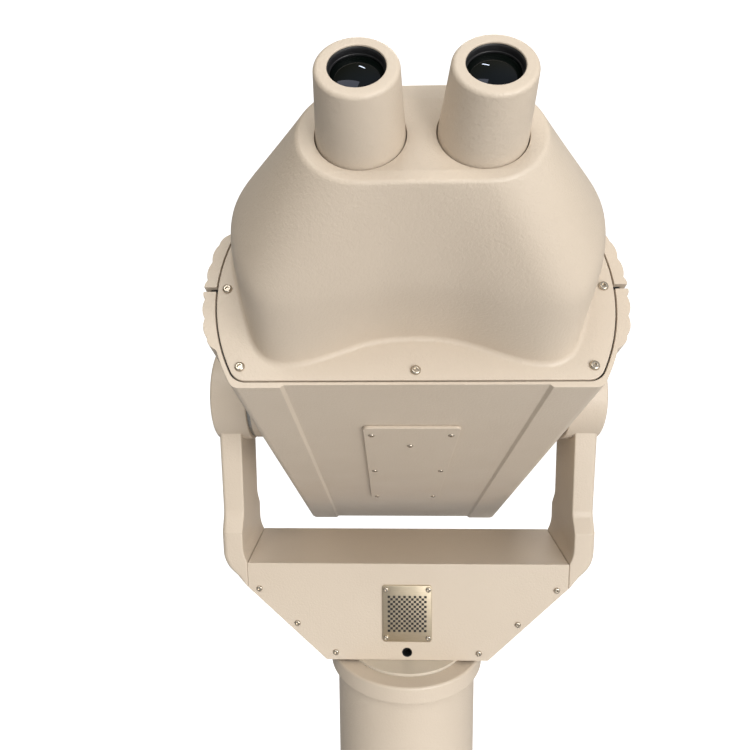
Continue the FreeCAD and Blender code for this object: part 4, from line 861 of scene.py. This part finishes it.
def payment_plate():
    """Brushed plate with a plain regular grid, in place of any printed code."""
    left, right = extent("payment_plate", X_AXIS, YOKE)
    face, back = extent("payment_plate", Y_AXIS, YOKE)
    low, high = extent("payment_plate", Z_AXIS, YOKE)

    def loop(inset, y):
        radius = PAYMENT_CORNER - inset
        corners = [(left + inset, low + inset, radius), (right - inset, low + inset, radius),
                   (right - inset, high - inset, radius), (left + inset, high - inset, radius)]
        return [yoke_point(x, y, z) for x, z in rounded_loop(corners)]

    shape = Mesh()
    halfway = PAYMENT_EDGE * 0.3  # around the edge's quarter round
    shape.closed_rings([loop(0, back), loop(0, face + PAYMENT_EDGE), loop(halfway, face + halfway),
                        loop(PAYMENT_EDGE, face)])
    shape.build("payment_plate_metal", PLATE, "yoke", "payment_plate", sharp=40)
    grid = Mesh()
    middle = (GRID_COUNT - 1) / 2
    for row in range(GRID_COUNT):
        for column in range(row % 2, GRID_COUNT, 2):
            x = centre_of((left, right)) + (column - middle) * GRID_PITCH
            z = centre_of((low, high)) + (row - middle) * GRID_PITCH
            add_tile(grid, x, z, face)
    grid.build("payment_grid", ENAMEL, "yoke", sharp=40)


def add_tile(shape, x, z, face):
    """Small square tile of enamel, standing a little proud of the plate."""
    left, right = x - TILE_HALF, x + TILE_HALF
    low, high = z - TILE_HALF, z + TILE_HALF
    corners = [(left, low), (right, low), (right, high), (left, high)]
    levels = (face + TILE_SUNK, face - TILE_HEIGHT)
    shape.closed_rings([[yoke_point(a, y, b) for a, b in corners] for y in levels])


# Painted shade: a black tube put in the drag screw's hole to make it dark.
def drag_hole_shade_tube():
    """Black tube in the round hole under the payment plate, around the pan drag screw: painted shade that darkens
    the hole.
    """
    across = extent("pan_drag_screw", X_AXIS, YOKE)
    height = extent("pan_drag_screw", Z_AXIS, YOKE)
    face = -BASE_HALF_DEPTH
    inner = (height[1] - height[0]) / 2 + SHADE_TUBE_ROOM
    outer = (height[1] - height[0]) / 2 + SHADE_TUBE_REACH

    def place(radius, turn, y):
        return yoke_point(centre_of(across) + radius * math.cos(turn), y,
                          centre_of(height) + radius * math.sin(turn))

    shape = Mesh()
    shape.turn_hollow([
        (inner, face + SHADE_TUBE_LENGTH),
        (inner, face + 2 * SHADE_TUBE_CHAMFER),
        (inner + SHADE_TUBE_CHAMFER, face + SHADE_TUBE_CHAMFER),
        (outer, face + SHADE_TUBE_CHAMFER),
        (outer, face + SHADE_TUBE_LENGTH),
    ], place)
    shape.build("drag_hole_shade_tube", BLACK, "yoke", sharp=40)


# ---------------------------------------------------------------- stage

# Places and sizes of the floor, the lights and the camera are in metres.
FLOOR_REACH = 9
FLOOR_HALF_WIDTH = 14
FLOOR_TURN = 4
FLOOR_GLOW = 0.9

LIGHTS = {  # place, aim, size, watts, colour
    "key": ((1.7, -3.0, 1.5), (0, 0, 1.3), (2.2, 1.8), 86, (1, 0.98, 0.95)),
    "rear": ((0.5, 2.4, 4.4), (0, 0, 1.2), (2.0, 2.0), 60, (1, 0.98, 0.95)),
    "top_left": ((-0.9, -2.1, 4.0), (0, 0, 1.4), (1.6, 1.4), 30, (1, 0.97, 0.92)),
    "ceiling_lamp": ((0.05, -0.28, 3.4), (0, -0.34, 1.6), (0.24, 0.05), 1.6, (0.9, 0.95, 1)),
}

ROOM_LIGHT_FROM = (0.42, -0.88, 0.12)
ROOM_DIM = 0.045
ROOM_BRIGHT = 0.78
ROOM_DIM_AT = -0.5  # cosine of the angle to where the light is strongest
ROOM_BRIGHT_AT = 0.95
ROOM_WARM = (1, 0.82, 0.48)  # colour of its dimmest side
ROOM_WHITE_LEVEL = 0.6  # strength from which its colour is white

CAMERA_PLACE = (-0.01755, -0.6338, 1.5089)
CAMERA_FORWARD = (-0.0310, 0.9903, -0.1355)
CAMERA_UP = (0.0046, 0.1357, 0.9907)
SENSOR_MM = 36
LENS_MM = 29.04
LENS_SHIFT = (0.00625, -0.0261)


def add_backdrop():
    """Pale floor that curves up into a wall far behind; the camera sees it brighter than it lights."""
    corners = [(-FLOOR_REACH, 0, 0), (FLOOR_REACH, 0, FLOOR_TURN), (FLOOR_REACH, FLOOR_REACH, 0)]
    path = rounded_path(corners, 24)
    shape = Mesh()
    ends = (-FLOOR_HALF_WIDTH, FLOOR_HALF_WIDTH)
    shape.rings([[Vector((x, y, z)) for x in ends] for y, z in path], closed=False)
    mesh = shape.data("backdrop")
    for polygon in mesh.polygons:
        polygon.use_smooth = True
    material, tree, shader = new_material("backdrop_white")
    tone = ramp(tree, noise(tree, 3), (0.50, 0.50, 0.51), (0.52, 0.52, 0.53))
    tree.links.new(tone, shader.inputs["Base Color"])
    shader.inputs["Roughness"].default_value = 0.9
    shader.inputs["Emission Color"].default_value = (1, 1, 1, 1)
    rays = tree.nodes.new("ShaderNodeLightPath")
    glow = tree.nodes.new("ShaderNodeMath")
    glow.operation = "MULTIPLY"
    glow.inputs[1].default_value = FLOOR_GLOW
    tree.links.new(rays.outputs["Is Camera Ray"], glow.inputs[0])
    tree.links.new(glow.outputs[0], shader.inputs["Emission Strength"])
    mesh.materials.append(material)
    linked("backdrop", mesh)


def add_area_light(name, place, aim, size, watts, color):
    light = bpy.data.lights.new(name, "AREA")
    light.shape = "RECTANGLE"
    light.size, light.size_y = size
    light.energy = watts
    light.color = color
    obj = linked(name, light)
    obj.location = place
    obj.rotation_euler = (Vector(aim) - Vector(place)).to_track_quat("-Z", "Y").to_euler()


def add_world():
    """Room light: strongest from the front right, dim from behind and above; white to the camera."""
    world = bpy.data.worlds.new("studio")
    bpy.context.scene.world = world
    world.use_nodes = True
    tree = world.node_tree
    background = tree.nodes["Background"]
    coords = tree.nodes.new("ShaderNodeTexCoord")
    facing = tree.nodes.new("ShaderNodeVectorMath")
    facing.operation = "DOT_PRODUCT"
    facing.inputs[1].default_value = Vector(ROOM_LIGHT_FROM).normalized()
    tree.links.new(coords.outputs["Generated"], facing.inputs[0])
    level = tree.nodes.new("ShaderNodeMapRange")
    level.inputs["From Min"].default_value = ROOM_DIM_AT
    level.inputs["From Max"].default_value = ROOM_BRIGHT_AT
    level.inputs["To Min"].default_value = ROOM_DIM
    level.inputs["To Max"].default_value = ROOM_BRIGHT
    level.interpolation_type = "SMOOTHSTEP"
    tree.links.new(facing.outputs["Value"], level.inputs["Value"])
    rays = tree.nodes.new("ShaderNodeLightPath")
    mixed = tree.nodes.new("ShaderNodeMix")
    tree.links.new(rays.outputs["Is Camera Ray"], mixed.inputs["Factor"])
    tree.links.new(level.outputs["Result"], mixed.inputs["A"])
    mixed.inputs["B"].default_value = 1.0
    strength = mixed.outputs["Result"]
    tree.links.new(strength, background.inputs["Strength"])
    color = ramp(tree, strength, ROOM_WARM, (1, 1, 1), ROOM_DIM, ROOM_WHITE_LEVEL)
    tree.links.new(color, background.inputs["Color"])


def add_camera():
    """Standing just behind the eyepieces, looking slightly down, as a visitor would."""
    camera = bpy.data.cameras.new("camera")
    camera.sensor_width = SENSOR_MM
    camera.lens = LENS_MM
    camera.shift_x, camera.shift_y = LENS_SHIFT
    camera.clip_start = 0.01
    forward = Vector(CAMERA_FORWARD).normalized()
    right = forward.cross(Vector(CAMERA_UP)).normalized()
    turn = Matrix((right, right.cross(forward), -forward)).transposed().to_4x4()
    obj = linked("camera", camera)
    obj.matrix_world = Matrix.Translation(CAMERA_PLACE) @ turn
    bpy.context.scene.camera = obj


dress_cad_nodes()
rear_cover()
eyepiece(-1, "left")
eyepiece(1, "right")
dress_screws("cover_screws", U_AXIS, 1.5, "head")
dress_screws("access_plate_screws", V_AXIS, 1.1, "head")
dress_screws("yoke_plate_screws", Y_AXIS, 1.3, "yoke")
dress_screws("payment_plate_screws", Y_AXIS, 1.1, "yoke")
arm(-1, "left")
arm(1, "right")
payment_plate()
drag_hole_shade_tube()
softened("housing_lower", "head", 0.55)
softened("housing_upper", "head", 0.55)
softened("access_plate", "head", 0.8)
softened("front_cover", "head", 0.8)
softened("left_trunnion", "head", 0.6)
softened("right_trunnion", "head", 0.6)
softened("yoke_base", "yoke", 0.6, end_gap=0.5)
softened("front_plate", "yoke", 0.8)
softened("rear_plate", "yoke", 0.8)
softened("column_cap", "pedestal", 1.0, 3)
softened("base_flange", "pedestal", 1.5, 3)
softened("thrust_washer", "pedestal", 0.4)
softened("hub_caps", "yoke", 0.6)

add_backdrop()
add_world()
for name, settings in LIGHTS.items():
    add_area_light(name, *settings)
add_camera()
bpy.context.scene.view_settings.view_transform = "Standard"
